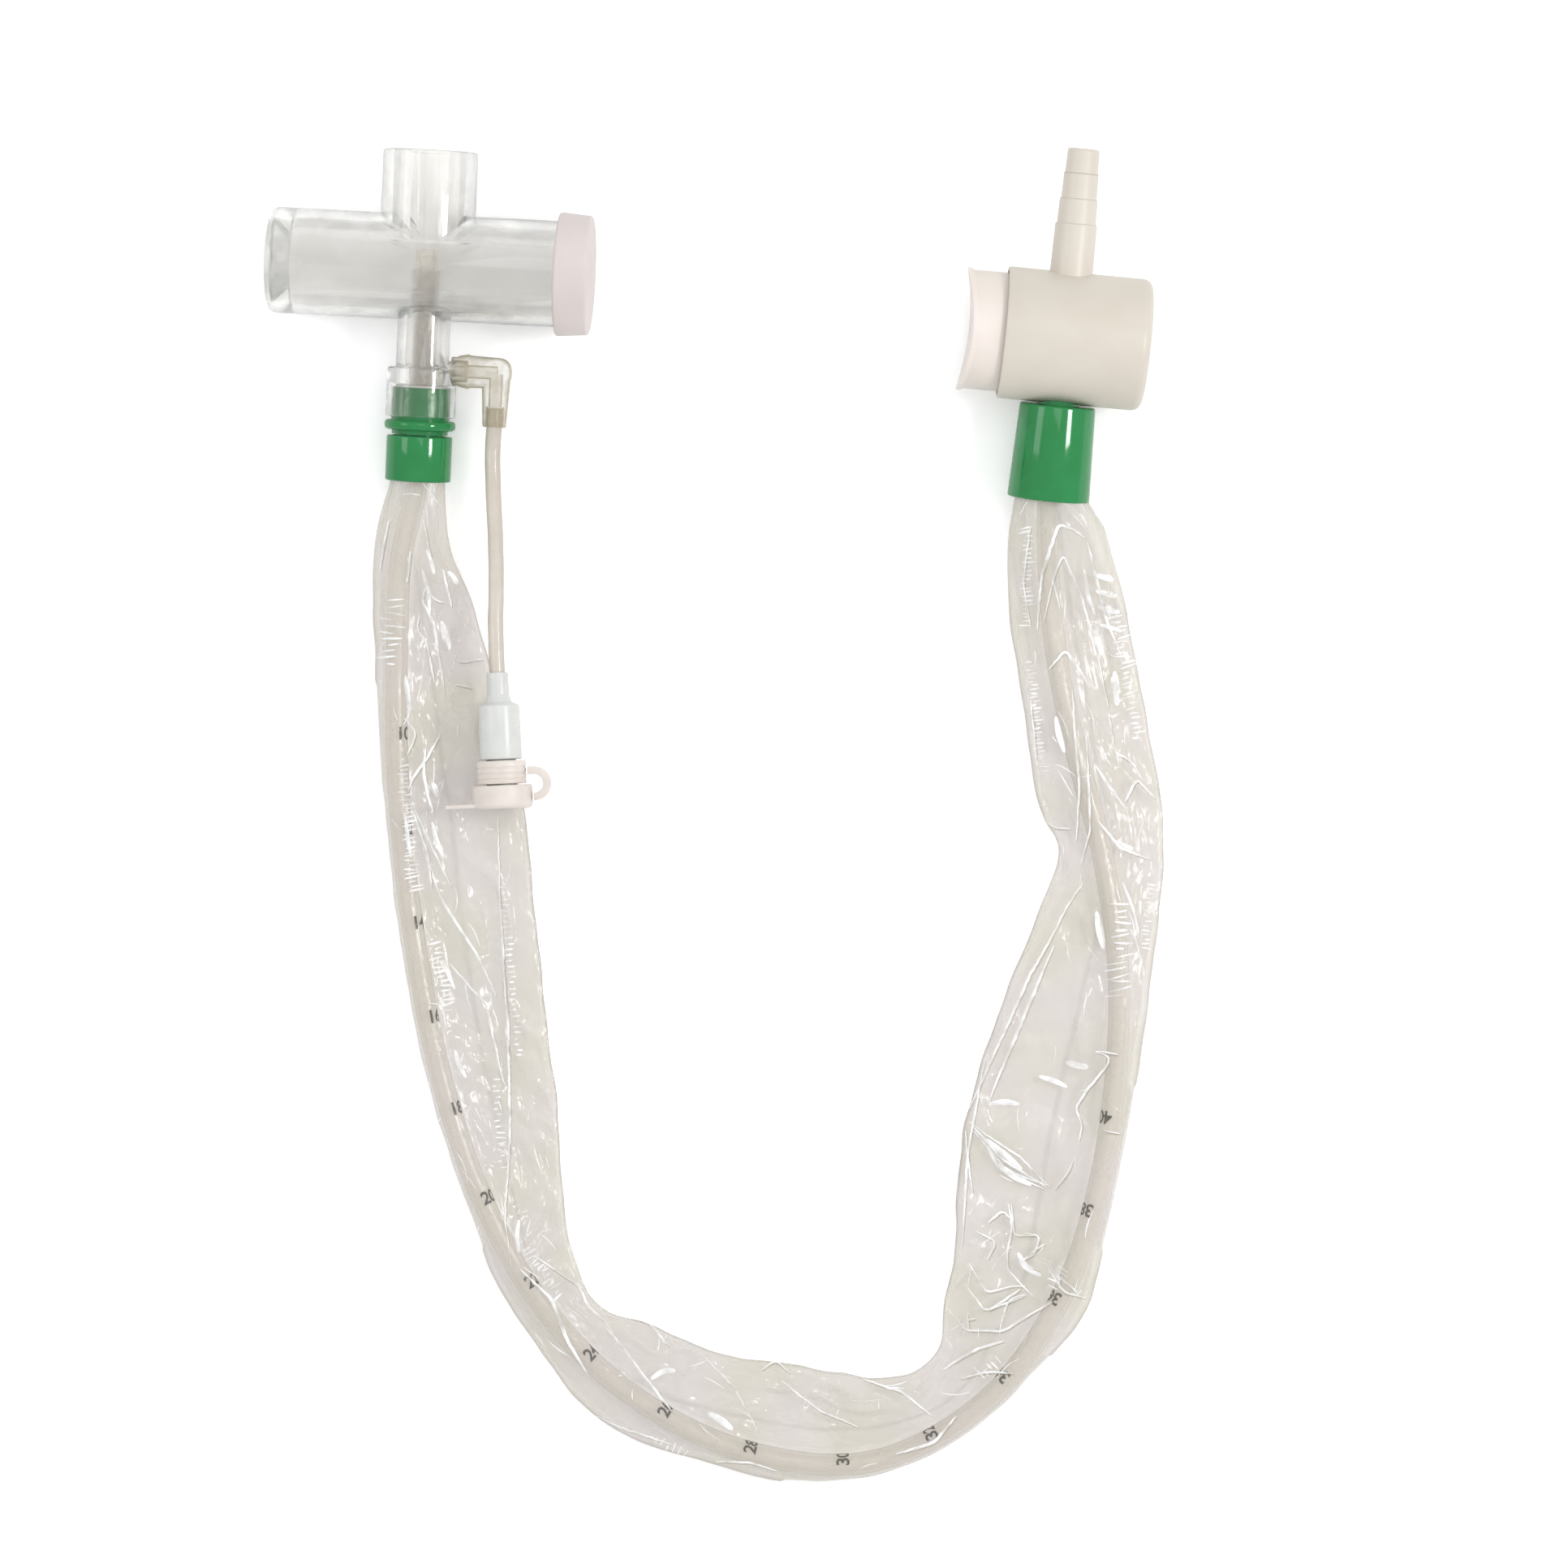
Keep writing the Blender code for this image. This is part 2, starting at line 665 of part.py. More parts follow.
def build_coupling(frame, green):
    insert_top = SOCKET_BORE_TOP + GAP
    seal_seat = SEAL_RECESS_TOP + GAP + SEAL_THICKNESS + GAP
    turned(
        "coupling",
        [
            (INSERT_DIAMETER / 2 - INSERT_STEP, -insert_top),
            (INSERT_DIAMETER / 2 - INSERT_STEP, -INSERT_STEP_DISTANCE),
            (INSERT_DIAMETER / 2, -INSERT_STEP_DISTANCE),
            (INSERT_DIAMETER / 2, -FLANGE_TOP),
            (FLANGE_DIAMETER / 2, -FLANGE_TOP, FLANGE_ROUND),
            (FLANGE_DIAMETER / 2, -FLANGE_END, FLANGE_ROUND),
            (COUPLING_NECK_DIAMETER / 2, -FLANGE_END),
            (COUPLING_NECK_DIAMETER / 2, -COUPLING_NECK_END),
            (COUPLING_SPIGOT_DIAMETER / 2, -COUPLING_NECK_END),
            (COUPLING_SPIGOT_DIAMETER / 2, -FRONT_COLLAR_END + 2 * GAP),
            (COUPLING_BORE / 2, -FRONT_COLLAR_END + 2 * GAP),
            (COUPLING_BORE / 2, -seal_seat),
            (SEAL_DIAMETER / 2 + GAP, -seal_seat),
            (SEAL_DIAMETER / 2 + GAP, -insert_top),
        ],
        green, frame,
    )
    turned(
        "front_collar",
        [
            (FRONT_COLLAR_DIAMETER / 2, -FRONT_COLLAR_TOP, COLLAR_ROUND),
            (FRONT_COLLAR_DIAMETER / 2, -FRONT_COLLAR_END, COLLAR_ROUND),
            (FRONT_FILM_RADIUS + GAP, -FRONT_COLLAR_END),
            (FRONT_FILM_RADIUS + GAP, -FRONT_COLLAR_TOP),
        ],
        green, frame,
    )


# Irrigation line
def rounded_end(radius, reach, steps):
    """Half outline of a blunt round end: full radius at 0, closing on the axis at the reach."""
    bluntness = 2.6
    points = []
    for i in range(steps + 1):
        rise = math.sin(math.pi / 2 * i / steps)
        points.append((radius * (1 - rise**bluntness) ** (1 / bluntness), reach * rise))
    points[-1] = (0.0, reach)
    return points


def build_elbow(frame, made_of):
    corner = ELBOW_CORNER_REACH
    level = -SPIGOT_DISTANCE
    arm = ELBOW_ARM_DIAMETER / 2
    tail = ELBOW_TAIL_TOP_DIAMETER / 2
    arm_end = [(r, corner + h) for r, h in rounded_end(arm, arm, 5)]
    tail_end = [(r, level + h) for r, h in rounded_end(tail, arm, 5)]
    bulge = ELBOW_BULGE_REACH
    elbow = turned(
        "irrigation_elbow",
        [
            *reversed(arm_end),
            (ELBOW_BULGE_DIAMETER / 2, bulge),
            (arm, bulge - ELBOW_BULGE_LENGTH),
            (ELBOW_MOUTH_DIAMETER / 2, SOCKET_DIAMETER / 2),
            (ELBOW_MOUTH_DIAMETER / 2, ELBOW_START),
            (0, ELBOW_START),
        ],
        made_of, frame, ALONG_X, (0, level, 0), SEGMENTS_SMALL,
    )
    tail_body = turned(
        "elbow_tail_body",
        [*reversed(tail_end), (ELBOW_TAIL_END_DIAMETER / 2, -ELBOW_END), (0, -ELBOW_END)],
        None, frame, ALONG_Y, (corner, 0, 0), SEGMENTS_SMALL,
    )
    arm_bore = turned(
        "elbow_arm_bore",
        [
            (0, corner + LUMEN_MEETING),
            (ELBOW_LUMEN / 2, corner + LUMEN_MEETING),
            (ELBOW_LUMEN / 2, SPIGOT_REACH + GAP),
            (SPIGOT_DIAMETER / 2 + GAP, SPIGOT_REACH + GAP),
            (SPIGOT_DIAMETER / 2 + GAP, ELBOW_START - OVERCUT),
            (0, ELBOW_START - OVERCUT),
        ],
        None, frame, ALONG_X, (0, level, 0), SEGMENTS_SMALL,
    )
    hose_seat = ELBOW_END - HOSE_INSERTION - GAP
    tail_bore = turned(
        "elbow_tail_bore",
        [
            (0, level - LUMEN_MEETING),
            (ELBOW_LUMEN / 2, level - LUMEN_MEETING),
            (ELBOW_LUMEN / 2, -hose_seat),
            (HOSE_DIAMETER / 2 + GAP, -hose_seat),
            (HOSE_DIAMETER / 2 + GAP, -ELBOW_END - OVERCUT),
            (0, -ELBOW_END - OVERCUT),
        ],
        None, frame, ALONG_Y, (corner, 0, 0), SEGMENTS_SMALL,
    )
    join(elbow, tail_body)
    cut(elbow, arm_bore)
    cut(elbow, tail_bore)


def build_connector(frame, white, silicone):
    bore = CONNECTOR_BORE / 2
    hose_bore = HOSE_DIAMETER / 2 + GAP
    body_end = -CONNECTOR_END
    turned(
        "irrigation_connector",
        [
            (CONNECTOR_NECK_DIAMETER / 2, 0),
            (CONNECTOR_NECK_DIAMETER / 2, -CONNECTOR_NECK_LENGTH),
            (CONNECTOR_TOP_DIAMETER / 2, -CONNECTOR_SHOULDER, 0.0006),
            (CONNECTOR_END_DIAMETER / 2, body_end, 0.0003),
            (bore, body_end),
            (bore, -CONNECTOR_BORE_TOP),
            (NOSE_BORE / 4, -CONNECTOR_BORE_TOP),
            (NOSE_BORE / 4, -HOSE_INSERTION - GAP),
            (hose_bore, -HOSE_INSERTION - GAP),
            (hose_bore, 0),
        ],
        white, frame, segments=SEGMENTS_SMALL,
    )
    disc_top = CONNECTOR_BORE_TOP + GAP
    turned("check_disc", rod(bore - 2 * GAP, -disc_top, -disc_top - DISC_THICKNESS), silicone, frame,
           segments=SEGMENTS_SMALL)
    plug = bore - GAP
    turned(
        "irrigation_port",
        [
            (plug, -PORT_PLUG_TOP),
            (plug, body_end - GAP + PORT_LIP_LENGTH),
            (NOSE_DIAMETER / 2, body_end - GAP),
            (NOSE_DIAMETER / 2, -NOSE_END, 0.0004),
            (NOSE_BORE / 2, -NOSE_END),
            (NOSE_BORE / 2, -PORT_PLUG_TOP),
        ],
        white, frame, segments=SEGMENTS_SMALL,
    )


def build_tether(frame, beige):
    """Ribbed ring round the nose, the strap that loops out to the right, and the cap with its pull tab."""
    inner = NOSE_DIAMETER / 2 + GAP
    turned(
        "tether_ring",
        [
            (RING_DIAMETER / 2 - RING_RIB_HEIGHT, -RING_TOP),
            (RING_DIAMETER / 2, -RING_TOP - 2 * RING_RIB_HEIGHT),
            (RING_DIAMETER / 2, -RING_END),
            (inner, -RING_END),
            (inner, -RING_TOP),
        ],
        beige, frame, segments=SEGMENTS_SMALL,
    )
    cap_floor = NOSE_END + GAP
    cap = turned(
        "irrigation_cap",
        [
            (inner, -IRRIGATION_CAP_TOP),
            (IRRIGATION_CAP_DIAMETER / 2, -IRRIGATION_CAP_TOP, 0.0004),
            (IRRIGATION_CAP_DIAMETER / 2, -IRRIGATION_CAP_END, 0.0006),
            (0, -IRRIGATION_CAP_END),
            (0, -cap_floor),
            (inner, -cap_floor),
        ],
        beige, frame,
    )
    tab = block(
        "pull_tab_body",
        (-TAB_REACH, -IRRIGATION_CAP_END + 0.0004, -TAB_WIDTH / 2),
        (-IRRIGATION_CAP_DIAMETER / 4, -IRRIGATION_CAP_END + 0.0004 + TAB_THICKNESS, TAB_WIDTH / 2),
        None, frame,
    )
    join(cap, tab)
    build_strap(frame, beige)


def build_strap(frame, made_of):
    """A flat C seen edge-on, from the ring's side out and back to the cap's side."""
    outer = STRAP_LOOP_DIAMETER / 2
    inner = outer - STRAP_THICKNESS
    centre = (STRAP_DISTANCE, -(RING_END + IRRIGATION_CAP_TOP) / 2)
    turn_start = math.radians(90)
    turn_end = math.radians(-90)
    steps = 12
    angles = [turn_start + (turn_end - turn_start) * i / steps for i in range(steps + 1)]
    arc_out = [(centre[0] + outer * math.cos(a), centre[1] + outer * math.sin(a)) for a in angles]
    arc_in = [(centre[0] + inner * math.cos(a), centre[1] + inner * math.sin(a)) for a in reversed(angles)]
    ring_side = RING_DIAMETER / 2 + GAP
    cap_side = IRRIGATION_CAP_DIAMETER / 2 + GAP
    outline = [
        (ring_side, centre[1] + outer), *arc_out, (cap_side, centre[1] - outer),
        (cap_side, centre[1] - inner), *arc_in, (ring_side, centre[1] + inner),
    ]
    curve = bpy.data.curves.new("tether_strap", "CURVE")
    curve.dimensions = "2D"
    curve.fill_mode = "BOTH"
    curve.extrude = STRAP_WIDTH / 2
    spline = curve.splines.new("POLY")
    spline.use_cyclic_u = True
    spline.points.add(len(outline) - 1)
    for target, point in zip(spline.points, outline):
        target.co = (*point, 0.0, 1.0)
    add_object("tether_strap", curve, made_of, frame, (0, 0, 0), (0, 0, 0))


# Suction valve
def build_housing(frame, made_of):
    radius = HOUSING_DIAMETER / 2
    housing = turned(
        "valve_housing",
        [
            (0, HOUSING_RIGHT_REACH),
            (radius, HOUSING_RIGHT_REACH, HOUSING_ROUND),
            (radius, -HOUSING_LEFT_REACH, 0.0003),
            (LIP_RECESS_RADIUS, -HOUSING_LEFT_REACH),
            (LIP_RECESS_RADIUS, -HOUSING_LEFT_REACH + LIP_RECESS_DEPTH),
            (HOUSING_CUP_DIAMETER / 2, -HOUSING_LEFT_REACH + LIP_RECESS_DEPTH),
            (HOUSING_CUP_DIAMETER / 2, -HOUSING_CUP_FLOOR),
            (PLUNGER_BORE / 2, -HOUSING_CUP_FLOOR),
            (PLUNGER_BORE / 2, HOUSING_FLOOR),
            (0, HOUSING_FLOOR),
        ],
        made_of, frame, ALONG_X, segments=SEGMENTS_LARGE,
    )
    height = radius + sum(step[2] for step in TAIL_STEPS)
    tail_outline = [(0, height)]
    for lower, upper, length in reversed(TAIL_STEPS):
        tail_outline.append((upper / 2, height))
        height -= length
        tail_outline.append((lower / 2, height))
    root = (radius + PLUNGER_BORE / 2) / 2
    tail_outline[-1] = (TAIL_STEPS[0][0] / 2, root)
    tail_outline.append((0, root))
    tail = turned("hose_tail_body", tail_outline, None, frame, segments=SEGMENTS_SMALL)
    tip = radius + sum(step[2] for step in TAIL_STEPS)
    tail_bore = turned("hose_tail_bore", rod(TAIL_BORE / 2, tip + OVERCUT, PLUNGER_BORE / 4), None, frame,
                       segments=SEGMENTS_SMALL)
    spigot_hole = turned(
        "spigot_hole",
        [
            (0, -PLUNGER_BORE / 4),
            (TAIL_BORE / 2, -PLUNGER_BORE / 4),
            (TAIL_BORE / 2, -VALVE_SPIGOT_TOP + GAP),
            (VALVE_SPIGOT_DIAMETER / 2 + GAP, -VALVE_SPIGOT_TOP + GAP),
            (VALVE_SPIGOT_DIAMETER / 2 + GAP, -radius - OVERCUT),
            (0, -radius - OVERCUT),
        ],
        None, frame, segments=SEGMENTS_SMALL,
    )
    join(housing, tail)
    cut(housing, tail_bore)
    cut(housing, spigot_hole)


def build_button(frame, made_of):
    """Cup with a hub for the plunger's stem; its face is hollowed by a wide cylinder across the thumb."""
    outer_end = -HOUSING_LEFT_REACH - BUTTON_EXPOSED
    skirt_end = -HOUSING_LEFT_REACH + BUTTON_ENGAGEMENT
    underside = outer_end + BUTTON_TOP_THICKNESS + BUTTON_SADDLE_DEPTH / 2
    hub_end = PLUNGER_LEFT - GAP
    stem_seat = -STEM_REACH - GAP
    inner = BUTTON_DIAMETER / 2 - BUTTON_WALL
    button = turned(
        "thumb_button",
        [
            (0, stem_seat),
            (STEM_DIAMETER / 2 + GAP, stem_seat),
            (STEM_DIAMETER / 2 + GAP, hub_end),
            (BUTTON_HUB_DIAMETER / 2, hub_end),
            (BUTTON_HUB_DIAMETER / 2, underside),
            (inner, underside),
            (inner, skirt_end),
            (BUTTON_DIAMETER / 2, skirt_end),
            (BUTTON_DIAMETER / 2, outer_end),
            (0, outer_end),
        ],
        made_of, frame, ALONG_X, segments=SEGMENTS_LARGE,
    )
    lip_radius = BUTTON_LIP_DIAMETER / 2
    saddle_radius = (lip_radius**2 + BUTTON_SADDLE_DEPTH**2) / (2 * BUTTON_SADDLE_DEPTH)
    saddle_centre = (outer_end + BUTTON_SADDLE_DEPTH - saddle_radius, 0, 0)
    lip = turned("button_lip_body", rod(lip_radius, underside - GAP, outer_end), None, frame, ALONG_X,
                 segments=SEGMENTS_LARGE)
    reach = HOUSING_DIAMETER
    lip_limit = turned("button_lip_limit", rod(saddle_radius + BUTTON_LIP_THICKNESS, reach, -reach), None, frame,
                       (0, 0, 0), saddle_centre, 120)
    saddle = turned("thumb_saddle", rod(saddle_radius, reach, -reach), None, frame, (0, 0, 0), saddle_centre, 120)
    combine(lip, "INTERSECT", lip_limit)
    join(button, lip)
    cut(button, saddle)


def build_plunger(frame, made_of, rubber, metal):
    radius = PLUNGER_DIAMETER / 2
    plunger = turned(
        "valve_plunger",
        [
            (0, SPRING_POCKET_FLOOR),
            (SPRING_POCKET_DIAMETER / 2, SPRING_POCKET_FLOOR),
            (SPRING_POCKET_DIAMETER / 2, PLUNGER_RIGHT),
            (radius, PLUNGER_RIGHT),
            (radius, PLUNGER_LEFT),
            (STEM_DIAMETER / 2, PLUNGER_LEFT),
            (STEM_DIAMETER / 2, -STEM_REACH),
            (0, -STEM_REACH),
        ],
        made_of, frame, ALONG_X,
    )
    cross_hole = turned("cross_hole", rod(CROSS_HOLE_DIAMETER / 2, radius + OVERCUT, -radius - OVERCUT), None, frame,
                        ALONG_Y, (-PRESS_TRAVEL, 0, 0), SEGMENTS_SMALL)
    half = SEAL_RING_SECTION / 2
    for name, place in SEAL_RING_PLACES.items():
        groove = turned(
            name + "_groove",
            [
                (radius + OVERCUT, place + half + GAP / 2),
                (radius + OVERCUT, place - half - GAP / 2),
                (radius - SEAL_RING_SECTION + GAP / 3, place - half - GAP / 2),
                (radius - SEAL_RING_SECTION + GAP / 3, place + half + GAP / 2),
            ],
            None, frame, ALONG_X,
        )
        cut(plunger, groove)
        build_seal_ring(name, frame, rubber, place)
    cut(plunger, cross_hole)
    build_spring(frame, metal)


def build_seal_ring(name, frame, rubber, place):
    half = SEAL_RING_SECTION / 2
    centre = PLUNGER_DIAMETER / 2 + GAP * 0.8 - half
    sides = 8
    outline = []
    for i in range(sides):
        angle = math.pi / sides - 2 * math.pi * i / sides
        outline.append((centre + half * math.cos(angle), place + half * math.sin(angle)))
    turned(name, outline, rubber, frame, ALONG_X, segments=SEGMENTS_SMALL)


def build_spring(frame, metal):
    start = SPRING_POCKET_FLOOR + GAP + SPRING_WIRE_DIAMETER / 2
    end = HOUSING_FLOOR - GAP - SPRING_WIRE_DIAMETER / 2
    points_per_turn = 12
    count = SPRING_TURNS * points_per_turn
    radius = SPRING_COIL_DIAMETER / 2
    points = []
    for i in range(count + 1):
        angle = 2 * math.pi * i / points_per_turn
        place = Vector((start + (end - start) * i / count, radius * math.cos(angle), radius * math.sin(angle)))
        points.append(frame.matrix_world @ place)
    tube("return_spring", points, SPRING_WIRE_DIAMETER / 2, metal, 1)


def build_rear_collar(frame, green):
    top = REAR_COLLAR_TOP
    bore_top = REAR_FILM_RADIUS + GAP
    bore_end = REAR_COLLAR_END_DIAMETER / 2 - REAR_COLLAR_WALL
    turned(
        "rear_collar",
        [
            (REAR_COLLAR_TOP_DIAMETER / 2, -top, COLLAR_ROUND),
            (REAR_COLLAR_END_DIAMETER / 2, -REAR_COLLAR_END, COLLAR_ROUND),
            (bore_end, -REAR_COLLAR_END),
            (bore_top, -top - REAR_COLLAR_LID),
            (VALVE_SPIGOT_DIAMETER / 2 + GAP, -top - REAR_COLLAR_LID),
            (VALVE_SPIGOT_DIAMETER / 2 + GAP, -top),
        ],
        green, frame,
    )
    bore = CATHETER_CLEARANCE_BORE / 2
    skirt_top = top + REAR_COLLAR_LID + GAP
    turned(
        "valve_spigot",
        [
            (VALVE_SPIGOT_DIAMETER / 2, -VALVE_SPIGOT_TOP),
            (VALVE_SPIGOT_DIAMETER / 2, -skirt_top),
            (VALVE_SPIGOT_SKIRT_DIAMETER / 2, -skirt_top),
            (VALVE_SPIGOT_SKIRT_DIAMETER / 2, -VALVE_SPIGOT_END),
            (bore, -VALVE_SPIGOT_END),
            (bore, -CATHETER_REAR_STOP + GAP),
            (TAIL_BORE / 2 - GAP, -CATHETER_REAR_STOP + GAP),
            (TAIL_BORE / 2 - GAP, -VALVE_SPIGOT_TOP),
        ],
        green, frame, segments=SEGMENTS_SMALL,
    )


# Catheter, hose and sleeve
def catheter_line(tee, valve):
    """Points that guide the catheter and the film from the front collar to the rear collar."""
    points = [
        tee.matrix_world @ Vector((0, -FRONT_COLLAR_TOP, 0)),
        tee.matrix_world @ Vector((0, -FRONT_COLLAR_END, 0)),
    ]
    points += [Vector((x, y, CATHETER_REST_HEIGHT + lift)) for x, y, lift in CATHETER_ROUTE]
    points += [
        valve.matrix_world @ Vector((0, -REAR_COLLAR_END, 0)),
        valve.matrix_world @ Vector((0, -REAR_COLLAR_TOP, 0)),
    ]
    return points


def build_catheter(tee, valve, made_of):
    run, _ = smooth_run(catheter_line(tee, valve), CATHETER_POINT_SPACING)
    tip = tee.matrix_world @ Vector((0, CATHETER_TIP_REACH, 0))
    stop = valve.matrix_world @ Vector((0, -CATHETER_REAR_STOP, 0))
    front = [tip.lerp(run[0], share) for share in (0.0, 0.2, 0.5, 0.8)]
    rear = [run[-1].lerp(stop, share) for share in (0.5, 1.0)]
    rod_curve = tube("catheter_rod", front + run + rear, CATHETER_RADIUS, made_of, 3)
    bpy.context.view_layer.update()
    catheter = as_mesh(rod_curve, "catheter")
    for name, sign, distance in (("eye_upper", 1, EYE_DISTANCE), ("eye_lower", -1, EYE_LOWER_DISTANCE)):
        middle = sign * CATHETER_RADIUS
        outline = rod(EYE_DIAMETER / 2, middle + CATHETER_RADIUS / 2, middle - CATHETER_RADIUS / 2)
        eye = turned(name, outline, None, tee, (0, 0, 0), (0, CATHETER_TIP_REACH - distance, 0), SEGMENTS_SMALL)
        cut(catheter, eye)


def film_ring(centre, side, upward, settled, distance, spread):
    """One loop of the film's outer surface, from the outer edge over the top to the inner edge and back below."""
    outside, inside = spread
    crown = CATHETER_RADIUS + GAP + FILM_WALL + FILM_CROWN_SLACK
    tight = 1 - smoothstep(FILM_TIGHT_REACH, FILM_LOOSE_REACH, outside)
    outer_hem = FILM_HEM_HEIGHT + (centre.z - FILM_HEM_HEIGHT) * tight
    leg = math.cos(math.pi / 4) * crown
    flat = [(-outside, outer_hem)]
    shoulder = (outside + leg) / 2
    shoulder_height = outer_hem + (centre.z + leg - outer_hem) * FILM_SHOULDER_RISE
    flat.append((-shoulder, shoulder_height))
    flat += [(-leg, centre.z + leg), (0.0, centre.z + crown), (leg, centre.z + leg)]
    ripple_phase = 2 * math.pi * distance / FILM_RIPPLE_LENGTH
    skirt_points = 4
    for i in range(1, skirt_points + 1):
        share = i / (skirt_points + 1)
        across = leg + (inside - leg) * share
        height = FILM_SKIRT_HEIGHT * (1 - share) + 2 * FILM_HEM_HEIGHT * share
        height += FILM_FOLD_HEIGHT * math.exp(-(((share - FILM_FOLD_PLACE) / FILM_FOLD_WIDTH) ** 2))
        height += FILM_RIPPLE * math.sin(ripple_phase + 2.4 * i) * math.sin(ripple_phase * 0.37 + i)
        flat.append((across, lowered_by_connector(centre + side * across, height)))
    flat.append((inside, FILM_HEM_HEIGHT))
    width = outside + inside
    flat += [(inside - 0.05 * width, 0.0), (inside - 0.35 * width, 0.0), (inside - 0.65 * width, 0.0)]
    heel = min(0.0, -outside + 0.0010 + 0.10 * outside)
    flat += [(heel + 0.0012, 0.0), (heel, 0.12 * outer_hem)]
    ring = []
    count = len(flat)
    turns = [math.pi - math.pi * i / 9 for i in range(10)]
    turns += [-math.pi * i / 6 for i in range(1, 6)]
    for i in range(count):
        across, height = flat[i]
        laid = Vector((centre.x, centre.y, 0.0)) + side * across + Vector((0, 0, height))
        middle = (inside - outside) / 2
        radius = width / 2
        round_place = centre + side * (middle + radius * math.cos(turns[i])) + upward * (radius * math.sin(turns[i]))
        place = round_place.lerp(laid, settled)
        ring.append(Vector((place.x, place.y, max(0.0, place.z))))
    return ring


def lowered_by_connector(place, height):
    """The film lies flatter where the irrigation connector rests on it and where the connector's cap comes off."""
    top = CONNECTOR_MOUTH[1] + FILM_PRESSED_MARGIN
    end = CONNECTOR_MOUTH[1] - IRRIGATION_CAP_END - IRRIGATION_CAP_TRAVEL - FILM_PRESSED_MARGIN
    beyond = max(place.y - top, end - place.y, 0.0)
    along = 1 - smoothstep(0.0, 2 * FILM_PRESSED_FADE, beyond)
    aside = abs(place.x - CONNECTOR_MOUTH[0]) - FILM_PRESSED_HALF_WIDTH
    across = 1 - smoothstep(0.0, FILM_PRESSED_FADE, aside)
    return height + (min(height, FILM_PRESSED_HEIGHT) - height) * along * across


def build_sleeve(tee, valve, film):
    """Film tube from inside the front collar to inside the rear collar: a loft of rings, made solid by its wall."""
    run, length = smooth_run(catheter_line(tee, valve), FILM_RING_SPACING)
    step = length / (len(run) - 1)
    mouth = REAR_COLLAR_END_DIAMETER / 2 - REAR_COLLAR_WALL - 3 * GAP
    spreads = [(0.0, FRONT_FILM_RADIUS, FRONT_FILM_RADIUS), *FILM_SPREAD, (length, mouth, mouth)]
    rings = []
    tee_turn = tee.matrix_world.to_3x3()
    valve_turn = valve.matrix_world.to_3x3()
    front_side = tee_turn @ Vector((1, 0, 0))
    front_up = tee_turn @ Vector((0, 0, 1))
    for share in (0.0, 0.5):
        distance = FRONT_COLLAR_TOP + GAP + FRONT_COLLAR_LENGTH * share
        centre = tee.matrix_world @ Vector((0, -distance, 0))
        rings.append(film_ring(centre, front_side, front_up, 0.0, 0.0, (FRONT_FILM_RADIUS, FRONT_FILM_RADIUS)))
    for i, centre in enumerate(run):
        distance = step * i
        ahead = run[min(i + 1, len(run) - 1)]
        behind = run[max(i - 1, 0)]
        along = (ahead - behind).normalized()
        side = Vector((0, 0, 1)).cross(along).normalized()
        upward = along.cross(side).normalized()
        settled = smoothstep(0.0, FILM_SETTLE_LENGTH, distance)
        settled *= smoothstep(0.0, FILM_SETTLE_LENGTH, length - distance)
        rings.append(film_ring(centre, side, upward, settled, distance, between(spreads, distance)))
    rear_side = valve_turn @ Vector((-1, 0, 0))
    rear_up = valve_turn @ Vector((0, 0, 1))
    for share in (0.5, 0.05):
        depth = REAR_COLLAR_TOP + REAR_COLLAR_LID + GAP
        distance = depth + (REAR_COLLAR_END - depth) * share
        centre = valve.matrix_world @ Vector((0, -distance, 0))
        rings.append(film_ring(centre, rear_side, rear_up, 0.0, 0.0, (REAR_FILM_RADIUS, REAR_FILM_RADIUS)))
    count = len(rings[0])
    faces = []
    for r in range(len(rings) - 1):
        for k in range(count):
            n = (k + 1) % count
            faces.append((r * count + k, (r + 1) * count + k, (r + 1) * count + n, r * count + n))
    mesh = bpy.data.meshes.new("sleeve")
    mesh.from_pydata([place for ring in rings for place in ring], [], faces)
    sleeve = add_object("sleeve", mesh, film, None, (0, 0, 0), (0, 0, 0))
    wall = sleeve.modifiers.new("wall", "SOLIDIFY")
    wall.thickness = FILM_WALL
    wall.offset = -1.0
    wall.use_even_offset = True


def build_hose(tee, connector, made_of):
    """Soft hose from its seat in the elbow to its seat in the connector's neck."""
    elbow = tee.matrix_world @ Matrix.Translation((ELBOW_CORNER_REACH, 0, 0))
    seat = elbow @ Vector((0, -ELBOW_END + HOSE_INSERTION, 0))
    leave = elbow @ Vector((0, -ELBOW_END, 0))
    enter = connector.matrix_world @ Vector((0, 0, 0))
    stop = connector.matrix_world @ Vector((0, -HOSE_INSERTION, 0))
    down = (leave - seat).normalized()
    back = (enter - stop).normalized()
    reach = (enter - leave).length / 4
    run, _ = smooth_run(
        [seat, leave, leave + down * reach * 0.6, leave.lerp(enter, 0.5) - Vector((0, 0, 0.0006)),
         enter + back * reach * 0.6, enter, stop],
        2.2 * HOSE_DIAMETER / 2,
    )
    tube("irrigation_hose", [seat, *run, stop], HOSE_DIAMETER / 2, made_of, 2)


# Meshes as they are built
def welded_mesh(obj, name):
    """The mesh that an object makes with its modifiers, with points that coincide made one."""
    mesh = bpy.data.meshes.new_from_object(obj.evaluated_get(bpy.context.evaluated_depsgraph_get()))
    shape = bmesh.new()
    shape.from_mesh(mesh)
    bmesh.ops.remove_doubles(shape, verts=shape.verts, dist=WELD_DISTANCE)
    bmesh.ops.dissolve_degenerate(shape, edges=shape.edges, dist=WELD_DISTANCE)
    shape.to_mesh(mesh)
    shape.free()
    mesh.name = name
    return mesh


